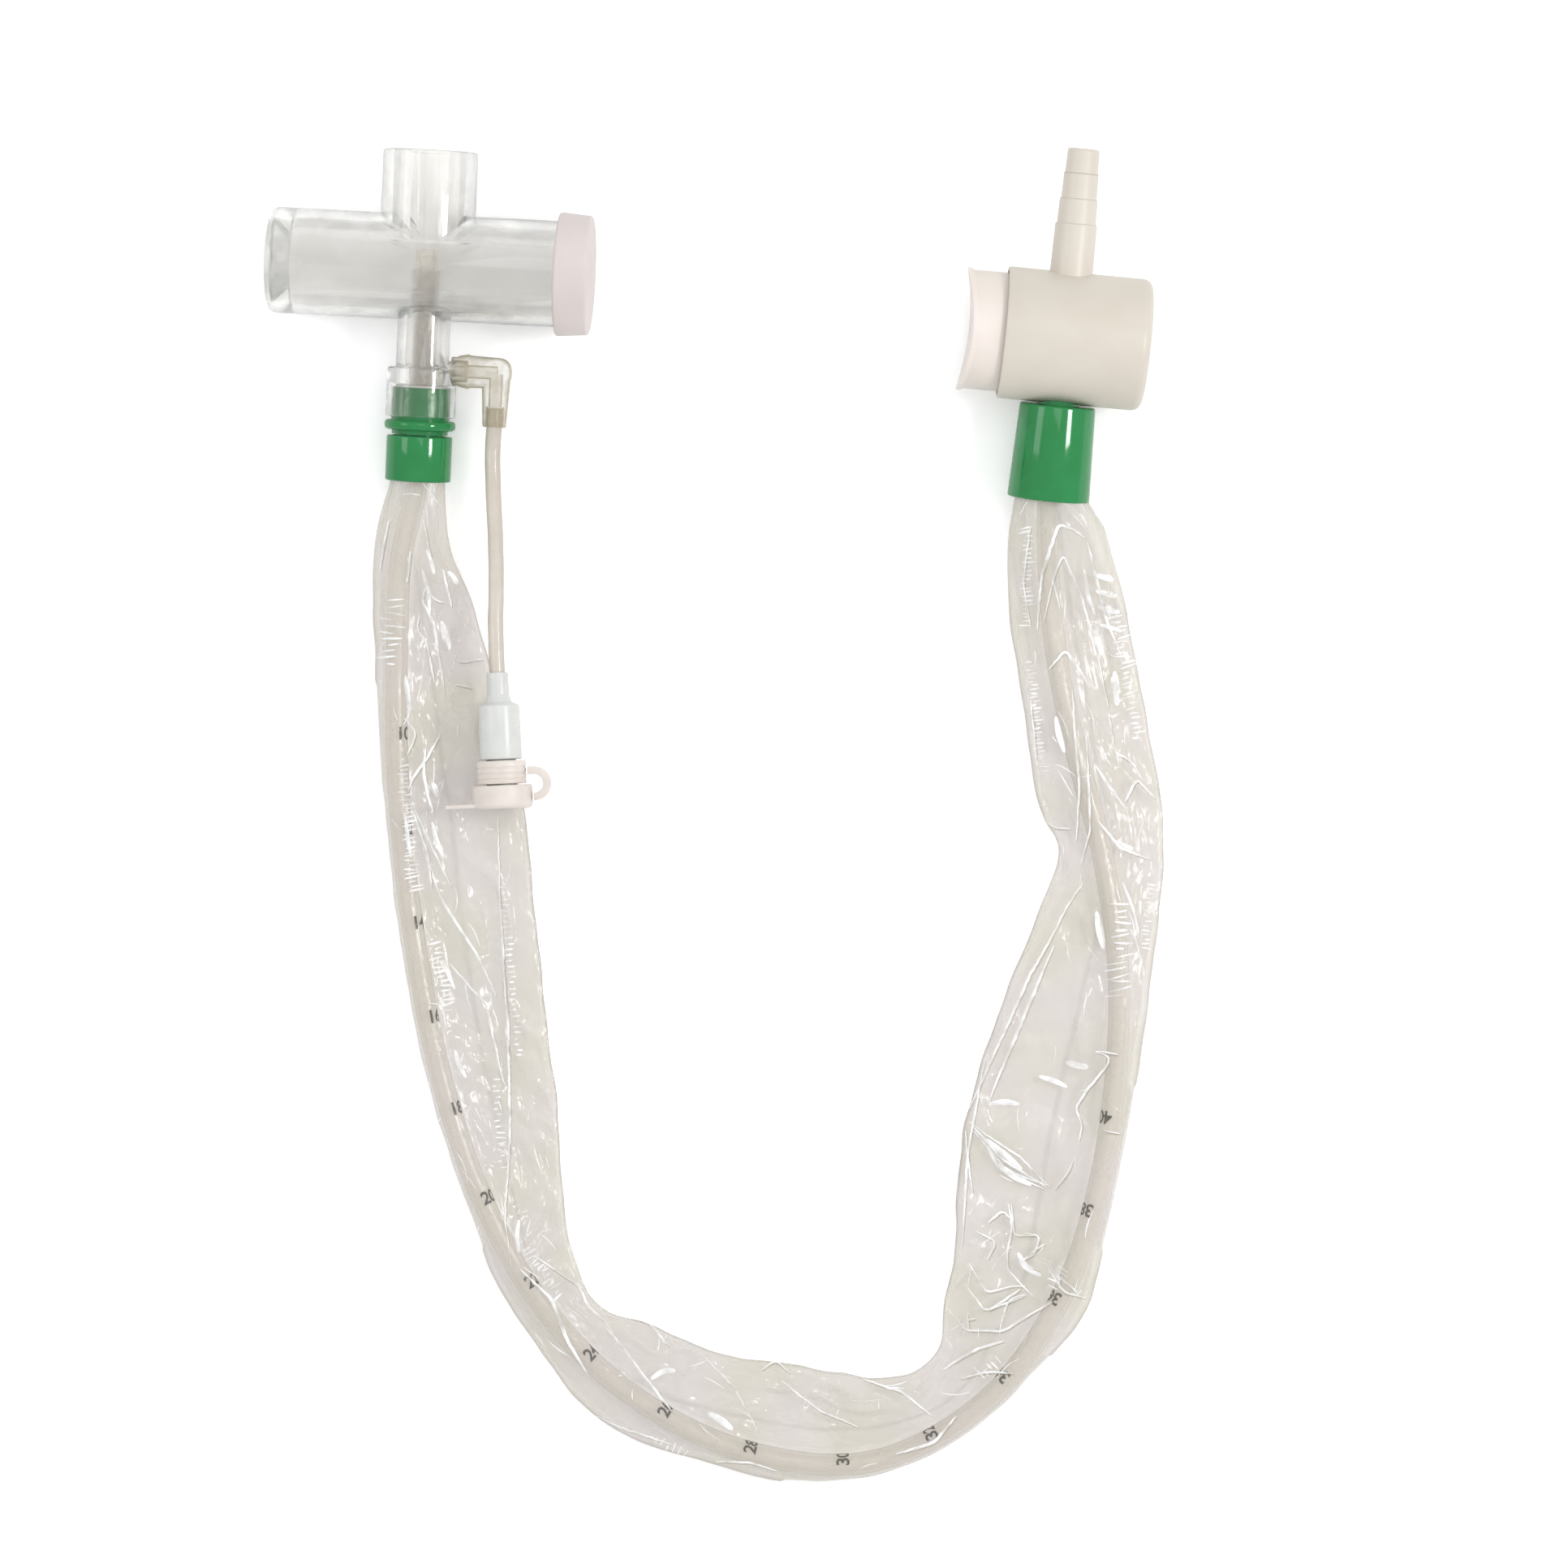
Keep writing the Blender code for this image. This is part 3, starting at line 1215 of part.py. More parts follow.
def as_mesh(obj, name):
    """Replaces a curve object by the mesh it makes, with its caps welded."""
    mesh = welded_mesh(obj, name)
    made = bpy.data.objects.new(name, mesh)
    made.matrix_world = obj.matrix_world.copy()
    PARTS.objects.link(made)
    bpy.data.objects.remove(obj, do_unlink=True)
    return made


def settle_meshes():
    """Applies the modifiers of each piece and shades its round faces smooth."""
    for obj in [o for o in PARTS.objects if o.type == "MESH"]:
        mesh = welded_mesh(obj, obj.name)
        obj.modifiers.clear()
        obj.data = mesh
        mesh.shade_smooth()
        mesh.set_sharp_from_angle(angle=SHARP_ANGLE)


def build():
    clear = plastic("clear_styrene", "E4E8E9", 0.05, 0.35)
    cap_white = plastic("cap_elastomer", "E2D8D6", 0.55)
    green = plastic("green_polypropylene", "2E8A4E", 0.35)
    silicone = plastic("white_silicone", "ECEAE6", 0.5)
    smoky = plastic("smoky_soft_pvc", "C8BCA5", 0.3, 0.85)
    hose_pvc = plastic("clear_soft_pvc", "E3DBCF", 0.3, 0.8)
    white = plastic("white_abs", "E6E8E6", 0.35)
    beige = plastic("beige_polyethylene", "EAE0DC", 0.5)
    housing_beige = plastic("beige_abs", "DED6CA", 0.42)
    button_pink = plastic("button_polypropylene", "EFE6E0", 0.45)
    plunger_white = plastic("plunger_acetal", "E8E8E4", 0.3)
    rubber = plastic("black_rubber", "2A2A2A", 0.6)
    spring_steel = steel("spring_steel", "B8B8B4", 0.25)
    film = plastic("polyurethane_film", "DAD2C8", 0.2, 0.4)
    tube_pvc = plastic("catheter_pvc", "E2D9C6", 0.35, 0.9)

    tee_height, tee_pitch, tee_roll = resting_tee()
    tee = new_frame("tee_frame", (*TEE_PLACE, tee_height), Euler((tee_pitch, tee_roll, TEE_YAW)))
    valve_height, valve_pitch = resting_valve()
    valve = new_frame("valve_frame", (*VALVE_PLACE, valve_height), Euler((valve_pitch, 0.0, VALVE_YAW)))
    connector = new_frame("connector_frame", CONNECTOR_MOUTH, Euler((0.0, 0.0, CONNECTOR_YAW)))
    bpy.context.view_layer.update()

    build_tee_piece(tee, clear)
    build_port_cap(tee, cap_white)
    build_guide_and_seal(tee, clear, silicone)
    build_coupling(tee, green)
    build_elbow(tee, smoky)
    build_connector(connector, white, silicone)
    build_tether(connector, beige)
    build_hose(tee, connector, hose_pvc)
    build_housing(valve, housing_beige)
    build_button(valve, button_pink)
    build_plunger(valve, plunger_white, rubber, spring_steel)
    build_rear_collar(valve, green)
    build_catheter(tee, valve, tube_pvc)
    build_sleeve(tee, valve, film)
    bpy.context.view_layer.update()
    settle_meshes()


clear_scene()
PARTS = new_collection("closed_suction_catheter")
CUTTERS = new_collection("cutters")
build()
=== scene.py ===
"""Closed suction catheter laid in a U on a white table, seen from straight above. Metres throughout."""

import math
import random

import bmesh
import bpy
from mathutils import Euler, Matrix, Vector, noise
from mathutils.bvhtree import BVHTree


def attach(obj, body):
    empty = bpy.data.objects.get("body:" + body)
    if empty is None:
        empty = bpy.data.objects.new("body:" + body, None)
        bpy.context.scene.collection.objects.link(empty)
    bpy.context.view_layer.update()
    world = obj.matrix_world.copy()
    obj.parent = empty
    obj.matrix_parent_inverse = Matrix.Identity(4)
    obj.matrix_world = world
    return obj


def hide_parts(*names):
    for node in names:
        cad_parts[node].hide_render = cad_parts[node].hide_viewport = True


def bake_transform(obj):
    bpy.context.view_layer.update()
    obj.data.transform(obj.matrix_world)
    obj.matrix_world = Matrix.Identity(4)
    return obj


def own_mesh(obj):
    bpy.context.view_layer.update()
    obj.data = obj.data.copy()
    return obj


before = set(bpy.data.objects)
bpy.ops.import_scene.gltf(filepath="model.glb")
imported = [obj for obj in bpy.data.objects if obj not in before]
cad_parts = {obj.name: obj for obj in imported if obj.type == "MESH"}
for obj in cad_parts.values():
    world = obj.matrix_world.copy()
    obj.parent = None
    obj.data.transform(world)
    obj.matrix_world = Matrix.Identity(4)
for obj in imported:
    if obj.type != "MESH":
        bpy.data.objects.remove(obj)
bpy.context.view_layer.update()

# Places of the moulded ends and of the irrigation connector, as they lie on the table
TEE = Matrix.Translation((-0.0610, 0.1158, 0.01215)) @ Euler(
    [math.radians(a) for a in (6.62068, -1.83516, -3.15)]
).to_matrix().to_4x4()
VALVE = Matrix.Translation((0.0738, 0.1007, 0.01385)) @ Euler(
    [math.radians(a) for a in (8.60144, 0.0, -5.35)]
).to_matrix().to_4x4()
CONNECTOR_MOUTH = Vector((-0.0462, 0.0302, 0.0093))
CONNECTOR = Matrix.Translation(CONNECTOR_MOUTH) @ Matrix.Rotation(math.radians(2.4), 4, "Z")

# Clearance between pieces that touch, and the catheter's own sizes
GAP = 0.0003
CATHETER_RADIUS = 0.002335
CATHETER_LUMEN = 0.00155
CATHETER_REST = 2 * GAP + CATHETER_RADIUS

# Distances down the catheter's way from the tee's middle, and from the valve's middle for the rear ones
CATHETER_TIP_REACH = 0.0037
CATHETER_REAR_STOP = 0.0170
FRONT_COLLAR_TOP = 0.0355
FRONT_COLLAR_END = 0.0451
REAR_COLLAR_TOP = 0.01415
REAR_COLLAR_END = 0.0341

# Film as it lies flat, and round where the collars clamp it
FILM_WIDTH = 0.0375
FRONT_FILM_RADIUS = 0.0054
REAR_FILM_RADIUS = 0.0064

# Route of the catheter between the collars: x, y and lift above where it rests on the film
CATHETER_ROUTE = [
    (-0.0670, 0.0545, 0.0021),
    (-0.0680, 0.0370, 0.0004),
    (-0.0682, 0.0200, 0.0000),
    (-0.0673, -0.0010, 0.0000),
    (-0.0640, -0.0288, 0.0000),
    (-0.0585, -0.0566, 0.0000),
    (-0.0498, -0.0822, 0.0000),
    (-0.0371, -0.1048, 0.0000),
    (-0.0185, -0.1235, 0.0000),
    (0.0066, -0.1360, 0.0000),
    (0.0335, -0.1381, 0.0000),
    (0.0573, -0.1256, 0.0000),
    (0.0739, -0.1029, 0.0000),
    (0.0819, -0.0791, 0.0000),
    (0.0857, -0.0531, 0.0000),
    (0.0859, -0.0305, 0.0000),
    (0.0826, -0.0080, 0.0000),
    (0.0770, 0.0135, 0.0000),
    (0.0733, 0.0310, 0.0005),
    (0.0713, 0.0470, 0.0026),
]

# Spread of the film along that route: distance from the front collar, then reach to the outside and to the
# inside of the bend
FILM_SPREAD = [
    (0.000, 0.0054, 0.0054),
    (0.010, 0.0064, 0.0088),
    (0.025, 0.0056, 0.0155),
    (0.045, 0.0043, 0.0217),
    (0.075, 0.0033, 0.0268),
    (0.110, 0.0033, 0.0257),
    (0.140, 0.0033, 0.0226),
    (0.160, 0.0038, 0.0171),
    (0.172, 0.0056, 0.0125),
    (0.190, 0.0063, 0.0084),
    (0.202, 0.0087, 0.0143),
    (0.215, 0.0080, 0.0160),
    (0.230, 0.0046, 0.0184),
    (0.241, 0.0048, 0.0205),
    (0.262, 0.0033, 0.0190),
    (0.283, 0.0033, 0.0134),
    (0.291, 0.0033, 0.0142),
    (0.301, 0.0033, 0.0198),
    (0.318, 0.0066, 0.0250),
    (0.333, 0.0042, 0.0288),
    (0.352, 0.0038, 0.0309),
    (0.370, 0.0047, 0.0286),
    (0.390, 0.0070, 0.0231),
    (0.407, 0.0114, 0.0150),
    (0.419, 0.0143, 0.0078),
    (0.428, 0.0157, 0.0109),
    (0.450, 0.0169, 0.0087),
    (0.470, 0.0163, 0.0088),
    (0.483, 0.0132, 0.0086),
    (0.4903, 0.0110, 0.0076),
    (0.4931, 0.0067, 0.0067),
]

# Points of the irrigation hose from its seat in the elbow to its seat in the connector
HOSE_ROUTE = [
    (-0.0467, 0.0863, 0.0093),
    (-0.0469, 0.0823, 0.0089),
    (-0.0472, 0.0786, 0.0083),
    (-0.0473, 0.0749, 0.0080),
    (-0.0472, 0.0712, 0.0079),
    (-0.0471, 0.0674, 0.0080),
    (-0.0469, 0.0637, 0.0082),
    (-0.0467, 0.0600, 0.0083),
    (-0.0466, 0.0563, 0.0085),
    (-0.0465, 0.0526, 0.0086),
    (-0.0465, 0.0488, 0.0088),
    (-0.0465, 0.0451, 0.0090),
    (-0.0466, 0.0414, 0.0092),
    (-0.0465, 0.0377, 0.0093),
    (-0.0464, 0.0339, 0.0093),
    (-0.0462, 0.0302, 0.0093),
    (-0.0460, 0.0262, 0.0093),
]
HOSE_RADIUS = 0.00165

ALONG_X = Matrix.Rotation(math.pi / 2, 4, "Y")
ALONG_Y = Matrix.Rotation(-math.pi / 2, 4, "X")
UPRIGHT = Matrix.Identity(4)
# Sides of a large turned piece, and steps in a fillet's arc
FINE = 96
FILLET_STEPS = 4


# Small tools
def linear(hex_colour):
    """An sRGB colour written in hex, as the linear values that the renderer takes."""
    channels = [int(hex_colour[i : i + 2], 16) / 255 for i in (0, 2, 4)]
    return [c / 12.92 if c <= 0.04045 else ((c + 0.055) / 1.055) ** 2.4 for c in channels] + [1.0]


def set_inputs(tree, node, inputs):
    """Gives a node's inputs their values; a value may be another node's output to link."""
    for key, value in inputs.items():
        if isinstance(value, bpy.types.NodeSocket):
            tree.links.new(value, node.inputs[key])
        else:
            node.inputs[key].default_value = value
    return node


def add_node(tree, kind, inputs=None, **settings):
    """Adds a node with its settings and inputs."""
    made = tree.nodes.new(kind)
    for name, value in settings.items():
        setattr(made, name, value)
    return set_inputs(tree, made, inputs or {})


def smoothstep(low, high, value):
    share = min(1.0, max(0.0, (value - low) / (high - low)))
    return share * share * (3 - 2 * share)


def between(table, value):
    """Reads a list of (key, ...) rows at a key, easing from row to row."""
    for row, following in zip(table, table[1:]):
        if value <= following[0]:
            share = smoothstep(row[0], following[0], value)
            return [a + (b - a) * share for a, b in zip(row[1:], following[1:])]
    return list(table[-1][1:])


def straight_between(table, value):
    """Reads the same list with straight lines from row to row, softened over a few millimetres."""
    reads = []
    for shift in (-0.0035, -0.0012, 0.0012, 0.0035):
        place = min(table[-1][0], max(table[0][0], value + shift))
        for row, following in zip(table, table[1:]):
            if place <= following[0]:
                share = (place - row[0]) / (following[0] - row[0])
                reads.append([a + (b - a) * share for a, b in zip(row[1:], following[1:])])
                break
    return [sum(values) / len(reads) for values in zip(*reads)]


def distances_along(points):
    distances = [0.0]
    for a, b in zip(points, points[1:]):
        distances.append(distances[-1] + (b - a).length)
    return distances


def smooth_run(points, spacing):
    """Evenly spaced points on a centripetal Catmull-Rom curve from the second point to the last but one,
    and the curve's length."""
    fine = []
    steps = 24
    for p0, p1, p2, p3 in zip(points, points[1:], points[2:], points[3:]):
        t1 = math.sqrt((p1 - p0).length)
        t2 = t1 + math.sqrt((p2 - p1).length)
        t3 = t2 + math.sqrt((p3 - p2).length)
        for i in range(steps):
            t = t1 + (t2 - t1) * i / steps
            a1 = p0.lerp(p1, t / t1)
            a2 = p1.lerp(p2, (t - t1) / (t2 - t1))
            a3 = p2.lerp(p3, (t - t2) / (t3 - t2))
            b1 = a1.lerp(a2, t / t2)
            b2 = a2.lerp(a3, (t - t1) / (t3 - t1))
            fine.append(b1.lerp(b2, (t - t1) / (t2 - t1)))
    fine.append(points[-2].copy())
    distances = distances_along(fine)
    count = max(2, round(distances[-1] / spacing))
    even = []
    k = 0
    for i in range(count + 1):
        wanted = distances[-1] * i / count
        while k < len(fine) - 2 and distances[k + 1] < wanted:
            k += 1
        share = (wanted - distances[k]) / (distances[k + 1] - distances[k])
        even.append(fine[k].lerp(fine[k + 1], min(1.0, share)))
    return even, distances[-1]


def new_object(name, mesh):
    made = bpy.data.objects.new(name, mesh)
    bpy.context.scene.collection.objects.link(made)
    return made


def mesh_object(name, points, faces):
    mesh = bpy.data.meshes.new(name)
    mesh.from_pydata(points, [], faces)
    mesh.update()
    return new_object(name, mesh)


def tube_faces(rings, sides, capped=False):
    """Quads between rings of points that follow one another, with a face over each end where it is capped."""
    faces = []
    for i in range(rings - 1):
        for k in range(sides):
            n = (k + 1) % sides
            faces.append((i * sides + k, (i + 1) * sides + k, (i + 1) * sides + n, i * sides + n))
    if capped:
        faces.append(tuple(range(sides)))
        faces.append(tuple(reversed(range((rings - 1) * sides, rings * sides))))
    return faces


def outward_faces(piece):
    shape = bmesh.new()
    shape.from_mesh(piece.data)
    bmesh.ops.recalc_face_normals(shape, faces=shape.faces)
    shape.to_mesh(piece.data)
    shape.free()


def finish_piece(piece, finish, body, slot, *nodes):
    """Gives a piece its material and its body, and hides the nodes that it stands for; slot is not used."""
    piece.data.materials.clear()
    piece.data.materials.append(finish)
    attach(piece, body)
    if nodes:
        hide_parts(*nodes)
    return piece


def smooth_shading(piece, degrees=32):
    piece.data.shade_smooth()
    piece.data.set_sharp_from_angle(angle=math.radians(degrees))
    return piece


# Turned and cut pieces
def with_fillets(outline, closed):
    """Replaces each point that has a third value, its fillet radius, by an arc."""
    points = []
    count = len(outline)
    for i, point in enumerate(outline):
        corner = Vector(point[:2])
        radius = point[2] if len(point) > 2 else 0.0
        if radius == 0.0 or (not closed and i in (0, count - 1)):
            points.append(corner)
            continue
        before = (Vector(outline[i - 1][:2]) - corner).normalized()
        after = (Vector(outline[(i + 1) % count][:2]) - corner).normalized()
        half_angle = before.angle(after) / 2
        reach = radius / math.tan(half_angle)
        centre = corner + (before + after).normalized() * radius / math.sin(half_angle)
        start = corner + before * reach - centre
        end = corner + after * reach - centre
        for step in range(FILLET_STEPS + 1):
            arm = start.slerp(end, step / FILLET_STEPS)
            points.append(centre + arm.normalized() * radius)
    return points


def turned(name, outline, frame_matrix, direction=ALONG_Y, place=(0, 0, 0), segments=FINE):
    """Spins an outline of (radius, height) points about a frame's direction; it runs down its outer side."""
    closed = outline[0][0] > 0 or outline[-1][0] > 0
    points = with_fillets(outline, closed)
    where = frame_matrix @ Matrix.Translation(place) @ direction
    shape = bmesh.new()
    rings = []
    for p in points:
        if p.x < 1e-9:
            rings.append([shape.verts.new(where @ Vector((0, 0, p.y)))])
            continue
        ring = []
        for k in range(segments):
            angle = 2 * math.pi * k / segments
            spot = Vector((p.x * math.cos(angle), p.x * math.sin(angle), p.y))
            ring.append(shape.verts.new(where @ spot))
        rings.append(ring)
    pairs = list(zip(rings, rings[1:]))
    if closed:
        pairs.append((rings[-1], rings[0]))
    for upper, lower in pairs:
        if len(upper) == 1 and len(lower) == 1:
            continue
        for k in range(segments):
            n = (k + 1) % segments
            corners = [upper[k % len(upper)], lower[k % len(lower)],
                       lower[n % len(lower)], upper[n % len(upper)]]
            shape.faces.new(list(dict.fromkeys(corners)))
    bmesh.ops.recalc_face_normals(shape, faces=shape.faces)
    mesh = bpy.data.meshes.new(name)
    shape.to_mesh(mesh)
    shape.free()
    return smooth_shading(new_object(name, mesh))


def rod(radius, top, bottom):
    return [(0, top), (radius, top), (radius, bottom), (0, bottom)]


def apply_modifiers(piece):
    mesh = bpy.data.meshes.new_from_object(piece.evaluated_get(bpy.context.evaluated_depsgraph_get()))
    piece.modifiers.clear()
    piece.data = mesh


def combine(piece, operation, *others):
    """Joins other bodies to a piece, cuts them from it, or keeps what they share."""
    for other in others:
        step = piece.modifiers.new(other.name, "BOOLEAN")
        step.operation = operation
        step.solver = "EXACT"
        step.object = other
    apply_modifiers(piece)
    for other in others:
        bpy.data.objects.remove(other, do_unlink=True)
    return piece


def clean_faces(piece, bevel=0.0):
    """Welds what a cut left doubled, rounds the sharp rims a little and shades the rest smooth."""
    shape = bmesh.new()
    shape.from_mesh(piece.data)
    bmesh.ops.remove_doubles(shape, verts=shape.verts, dist=0.000004)
    bmesh.ops.dissolve_degenerate(shape, edges=shape.edges, dist=0.000004)
    shape.to_mesh(piece.data)
    shape.free()
    if bevel:
        step = piece.modifiers.new("rim", "BEVEL")
        step.width = bevel
        step.segments = 2
        step.limit_method = "ANGLE"
        step.angle_limit = math.radians(40)
        apply_modifiers(piece)
    return smooth_shading(piece)


# Materials
def new_material(name):
    made = bpy.data.materials.new(name)
    made.use_nodes = True
    return made, made.node_tree, made.node_tree.nodes["Principled BSDF"]


def own_noise(tree, size_mm, detail):
    """Noise on the piece's own coordinates, in patches about size_mm wide."""
    place = add_node(tree, "ShaderNodeTexCoord").outputs["Object"]
    return add_node(tree, "ShaderNodeTexNoise", {
        "Vector": place, "Scale": 1000 / size_mm, "Detail": detail}).outputs["Fac"]


def stretched(tree, value, low, high, to_low=0.0, to_high=1.0):
    """Maps the range from low to high onto another range, and holds it there."""
    return add_node(tree, "ShaderNodeMapRange", {
        "Value": value, "From Min": low, "From Max": high,
        "To Min": to_low, "To Max": to_high}).outputs["Result"]


def calculated(tree, operation, *values, clamped=False):
    return add_node(tree, "ShaderNodeMath", dict(enumerate(values)),
                    operation=operation, use_clamp=clamped).outputs[0]


def tinted(tree, share, colour, shade):
    """A colour that drifts to a second one with share."""
    return add_node(tree, "ShaderNodeMix", data_type="RGBA", inputs={
        "Factor": share, 6: linear(colour), 7: linear(shade)}).outputs[2]


def relief(tree, height, strength, depth_mm):
    return add_node(tree, "ShaderNodeBump", {
        "Height": height, "Strength": strength, "Distance": depth_mm * 0.001}).outputs["Normal"]


def facing(tree, blend):
    """0 where a surface is seen square on, 1 where it is seen edge-on."""
    return add_node(tree, "ShaderNodeLayerWeight", {"Blend": blend}).outputs["Facing"]


def seen_directly(tree):
    """1 for rays that show a surface, straight or through clear plastic, and 0 for rays that gather light."""
    rays = add_node(tree, "ShaderNodeLightPath")
    return calculated(tree, "MAXIMUM", rays.outputs["Is Camera Ray"], rays.outputs["Is Transmission Ray"])


def moulded(name, colour, shade, roughness, ior, cloud_mm, grain_mm, grain_depth_mm, scatter=0.0, alpha=1.0):
    """A moulded plastic or rubber: faint clouding of its colour, uneven gloss and a fine skin."""
    made, tree, shader = new_material(name)
    cloud = own_noise(tree, cloud_mm, 3.0)
    grain = own_noise(tree, grain_mm, 4.0)
    set_inputs(tree, shader, {
        "Base Color": tinted(tree, stretched(tree, cloud, 0.35, 0.65), colour, shade),
        "Roughness": stretched(tree, grain, 0.3, 0.7, roughness * 0.85, roughness * 1.2),
        "Normal": relief(tree, grain, 0.5, grain_depth_mm),
        "IOR": ior,
        "Alpha": alpha,
    })
    if scatter:
        set_inputs(tree, shader, {
            "Subsurface Weight": scatter,
            "Subsurface Radius": (0.0012, 0.0010, 0.0008),
            "Subsurface Scale": 1.0,
        })
    return made


def clear_moulding(name, colour, roughness, ior, wave_mm, wave_depth_mm, body, rim, unevenness=0.5):
    """Clear polymer from a polished mould: sharp gloss, slow flow waves, and walls that grey seen edge-on."""
    made, tree, shader = new_material(name)
    wave = own_noise(tree, wave_mm, 2.0)
    haze = stretched(tree, wave, 0.4, 0.65, body * (1 - unevenness), body * (1 + unevenness))
    wall = stretched(tree, facing(tree, 0.5), 0.25, 0.95, 0.0, rim)
    set_inputs(tree, shader, {
        "Base Color": linear(colour),
        "Roughness": roughness,
        "Normal": relief(tree, wave, 0.6, wave_depth_mm),
        "IOR": ior,
        "Alpha": calculated(tree, "ADD", haze, wall, clamped=True),
    })
    return made


def refracting_moulding(name, colour, roughness, ior, wave_mm, wave_depth_mm):
    """Thick clear styrene: it bends the light in its walls, and part of the view comes straight through."""
    made, tree, shader = new_material(name)
    wave = own_noise(tree, wave_mm, 2.0)
    set_inputs(tree, shader, {
        "Base Color": linear(colour),
        "Transmission Weight": 1.0,
        "Roughness": roughness,
        "Normal": relief(tree, wave, 0.6, wave_depth_mm),
        "IOR": ior,
        "Alpha": stretched(tree, wave, 0.4, 0.65, 0.70, 0.92),
    })
    return made


def film_finish():
    """Thin polyurethane film: clear with a beige cast, creased, and clearer where it lies on the tube."""
    made, tree, shader = new_material("polyurethane_film")
    flat = add_node(tree, "ShaderNodeTexCoord").outputs["UV"]
    drawn_out = add_node(tree, "ShaderNodeMapping", {"Vector": flat, "Scale": (1.0, 0.12, 1.0)})
    streak = add_node(tree, "ShaderNodeTexNoise", {
        "Vector": drawn_out.outputs["Vector"], "Scale": 1000 / 2.6, "Detail": 2.0, "Distortion": 0.6})
    fold = add_node(tree, "ShaderNodeTexNoise", {
        "Vector": flat, "Scale": 1000 / 9.0, "Detail": 1.0, "Distortion": 1.2})
    ridge = calculated(tree, "ABSOLUTE", calculated(tree, "SUBTRACT", fold.outputs["Fac"], 0.5))
    height = calculated(tree, "MULTIPLY_ADD", ridge, -3.0, streak.outputs["Fac"])
    cover = stretched(tree, facing(tree, 0.35), 0.0, 0.9, 0.34, 0.70)
    close = add_node(tree, "ShaderNodeAttribute", attribute_name="on_catheter").outputs["Fac"]
    clearer = stretched(tree, close, 0.0, 1.0, 1.0, 0.5)
    set_inputs(tree, shader, {
        "Base Color": tinted(tree, stretched(tree, own_noise(tree, 22, 2.0), 0.38, 0.62), "D5CEBD", "DBD2CD"),
        "Roughness": 0.16,
        "Normal": relief(tree, height, 0.8, 0.35),
        "IOR": 1.50,
        "Specular IOR Level": 0.9,
        "Alpha": calculated(tree, "MULTIPLY", cover, clearer),
    })
    return made


def crease_finish():
    """Painted highlights on the film's sharp folds: plain white, glossy, and from half clear to nearly opaque
    in patches.
    """
    made, tree, shader = new_material("film_crease_highlights")
    set_inputs(tree, shader, {
        "Base Color": linear("FFFFFF"),
        "Roughness": 0.2,
        "IOR": 1.50,
        "Alpha": stretched(tree, own_noise(tree, 5.0, 2.0), 0.35, 0.6, 0.34, 0.98),
    })
    return made


def steel_finish():
    """Drawn stainless spring wire: bright, with its gloss a little uneven in fine patches."""
    made, tree, shader = new_material("spring_steel")
    set_inputs(tree, shader, {
        "Base Color": linear("B8B8B4"),
        "Metallic": 1.0,
        "Roughness": stretched(tree, own_noise(tree, 0.2, 2.0), 0.0, 1.0, 0.18, 0.34),
    })
    return made


def table_finish():
    """White paper under the part: matt, and lifted a little where it is seen, as the photograph's is."""
    made, tree, shader = new_material("table_paper")
    set_inputs(tree, shader, {
        "Base Color": tinted(tree, own_noise(tree, 1000 / 60, 2.0), "FEFEFE", "FFFFFF"),
        "Roughness": 0.9,
        "Specular IOR Level": 0.1,
        "Emission Color": linear("FFFFFF"),
        "Emission Strength": calculated(tree, "MULTIPLY", seen_directly(tree), 0.24),
    })
    return made


# Clear styrene, thick and polished: bright rims, bent light in its walls and a slightly warm grey
STYRENE = refracting_moulding("clear_styrene", "F3F2EF", 0.03, 1.57, 8.0, 0.02)
# Thin polycarbonate: hardly visible but for its two edges
GUIDE_CLEAR = clear_moulding("guide_polycarbonate", "F2EFEC", 0.08, 1.58, 4.0, 0.02, 0.04, 0.25)
# Soft elastomer: matt, faintly pink, with light that sinks in and blurs its shadows
CAP_FINISH = moulded("cap_elastomer", "DAD0CD", "D4CAC7", 0.50, 1.50, 14, 0.5, 0.012, 0.15)
# Pigmented polypropylene from a polished mould: deep green with narrow, sharp highlights
GREEN = moulded("green_polypropylene", "1D7D3F", "238548", 0.085, 1.49, 7, 0.5, 0.0006)
# White silicone: even and soft, with a dull sheen
SILICONE = moulded("white_silicone", "F0EFEC", "E6E4DF", 0.45, 1.43, 4, 0.4, 0.004)
# Smoke-tinted soft PVC: glassy and uneven, darker where its wall is seen edge-on
SMOKY = clear_moulding("smoky_soft_pvc", "B5A886", 0.08, 1.53, 3.0, 0.03, 0.19, 0.80, 0.45)
# Clear soft PVC in a thick small tube: beige, with darker edges
HOSE_PVC = clear_moulding("clear_soft_pvc", "C6BAA8", 0.12, 1.53, 5.0, 0.01, 0.52, 0.43, 0.06)
# White ABS: a cool, even white with a moderate shine
WHITE_ABS = moulded("white_abs", "DADBD7", "D3D4D1", 0.30, 1.54, 6, 0.4, 0.003)
# Beige polyethylene: waxy, with a broad highlight and a little light under its skin
BEIGE_PE = moulded("beige_polyethylene", "E5DDD6", "DDD4CC", 0.42, 1.51, 5, 0.4, 0.005, 0.15)
# Beige ABS with a satin skin: even, with one broad and faint highlight
BEIGE_ABS = moulded("beige_abs", "D5CDC1", "CFC7BA", 0.40, 1.54, 18, 0.3, 0.003)
# Polypropylene of the button: paler and pinker than the housing, waxy
BUTTON_PP = moulded("button_polypropylene", "EBE1DC", "E6DDD3", 0.37, 1.49, 9, 0.4, 0.004, 0.15)
# Acetal: a hard, slippery white
ACETAL = moulded("plunger_acetal", "E8E8E4", "E0E0DB", 0.30, 1.48, 5, 0.3, 0.003)
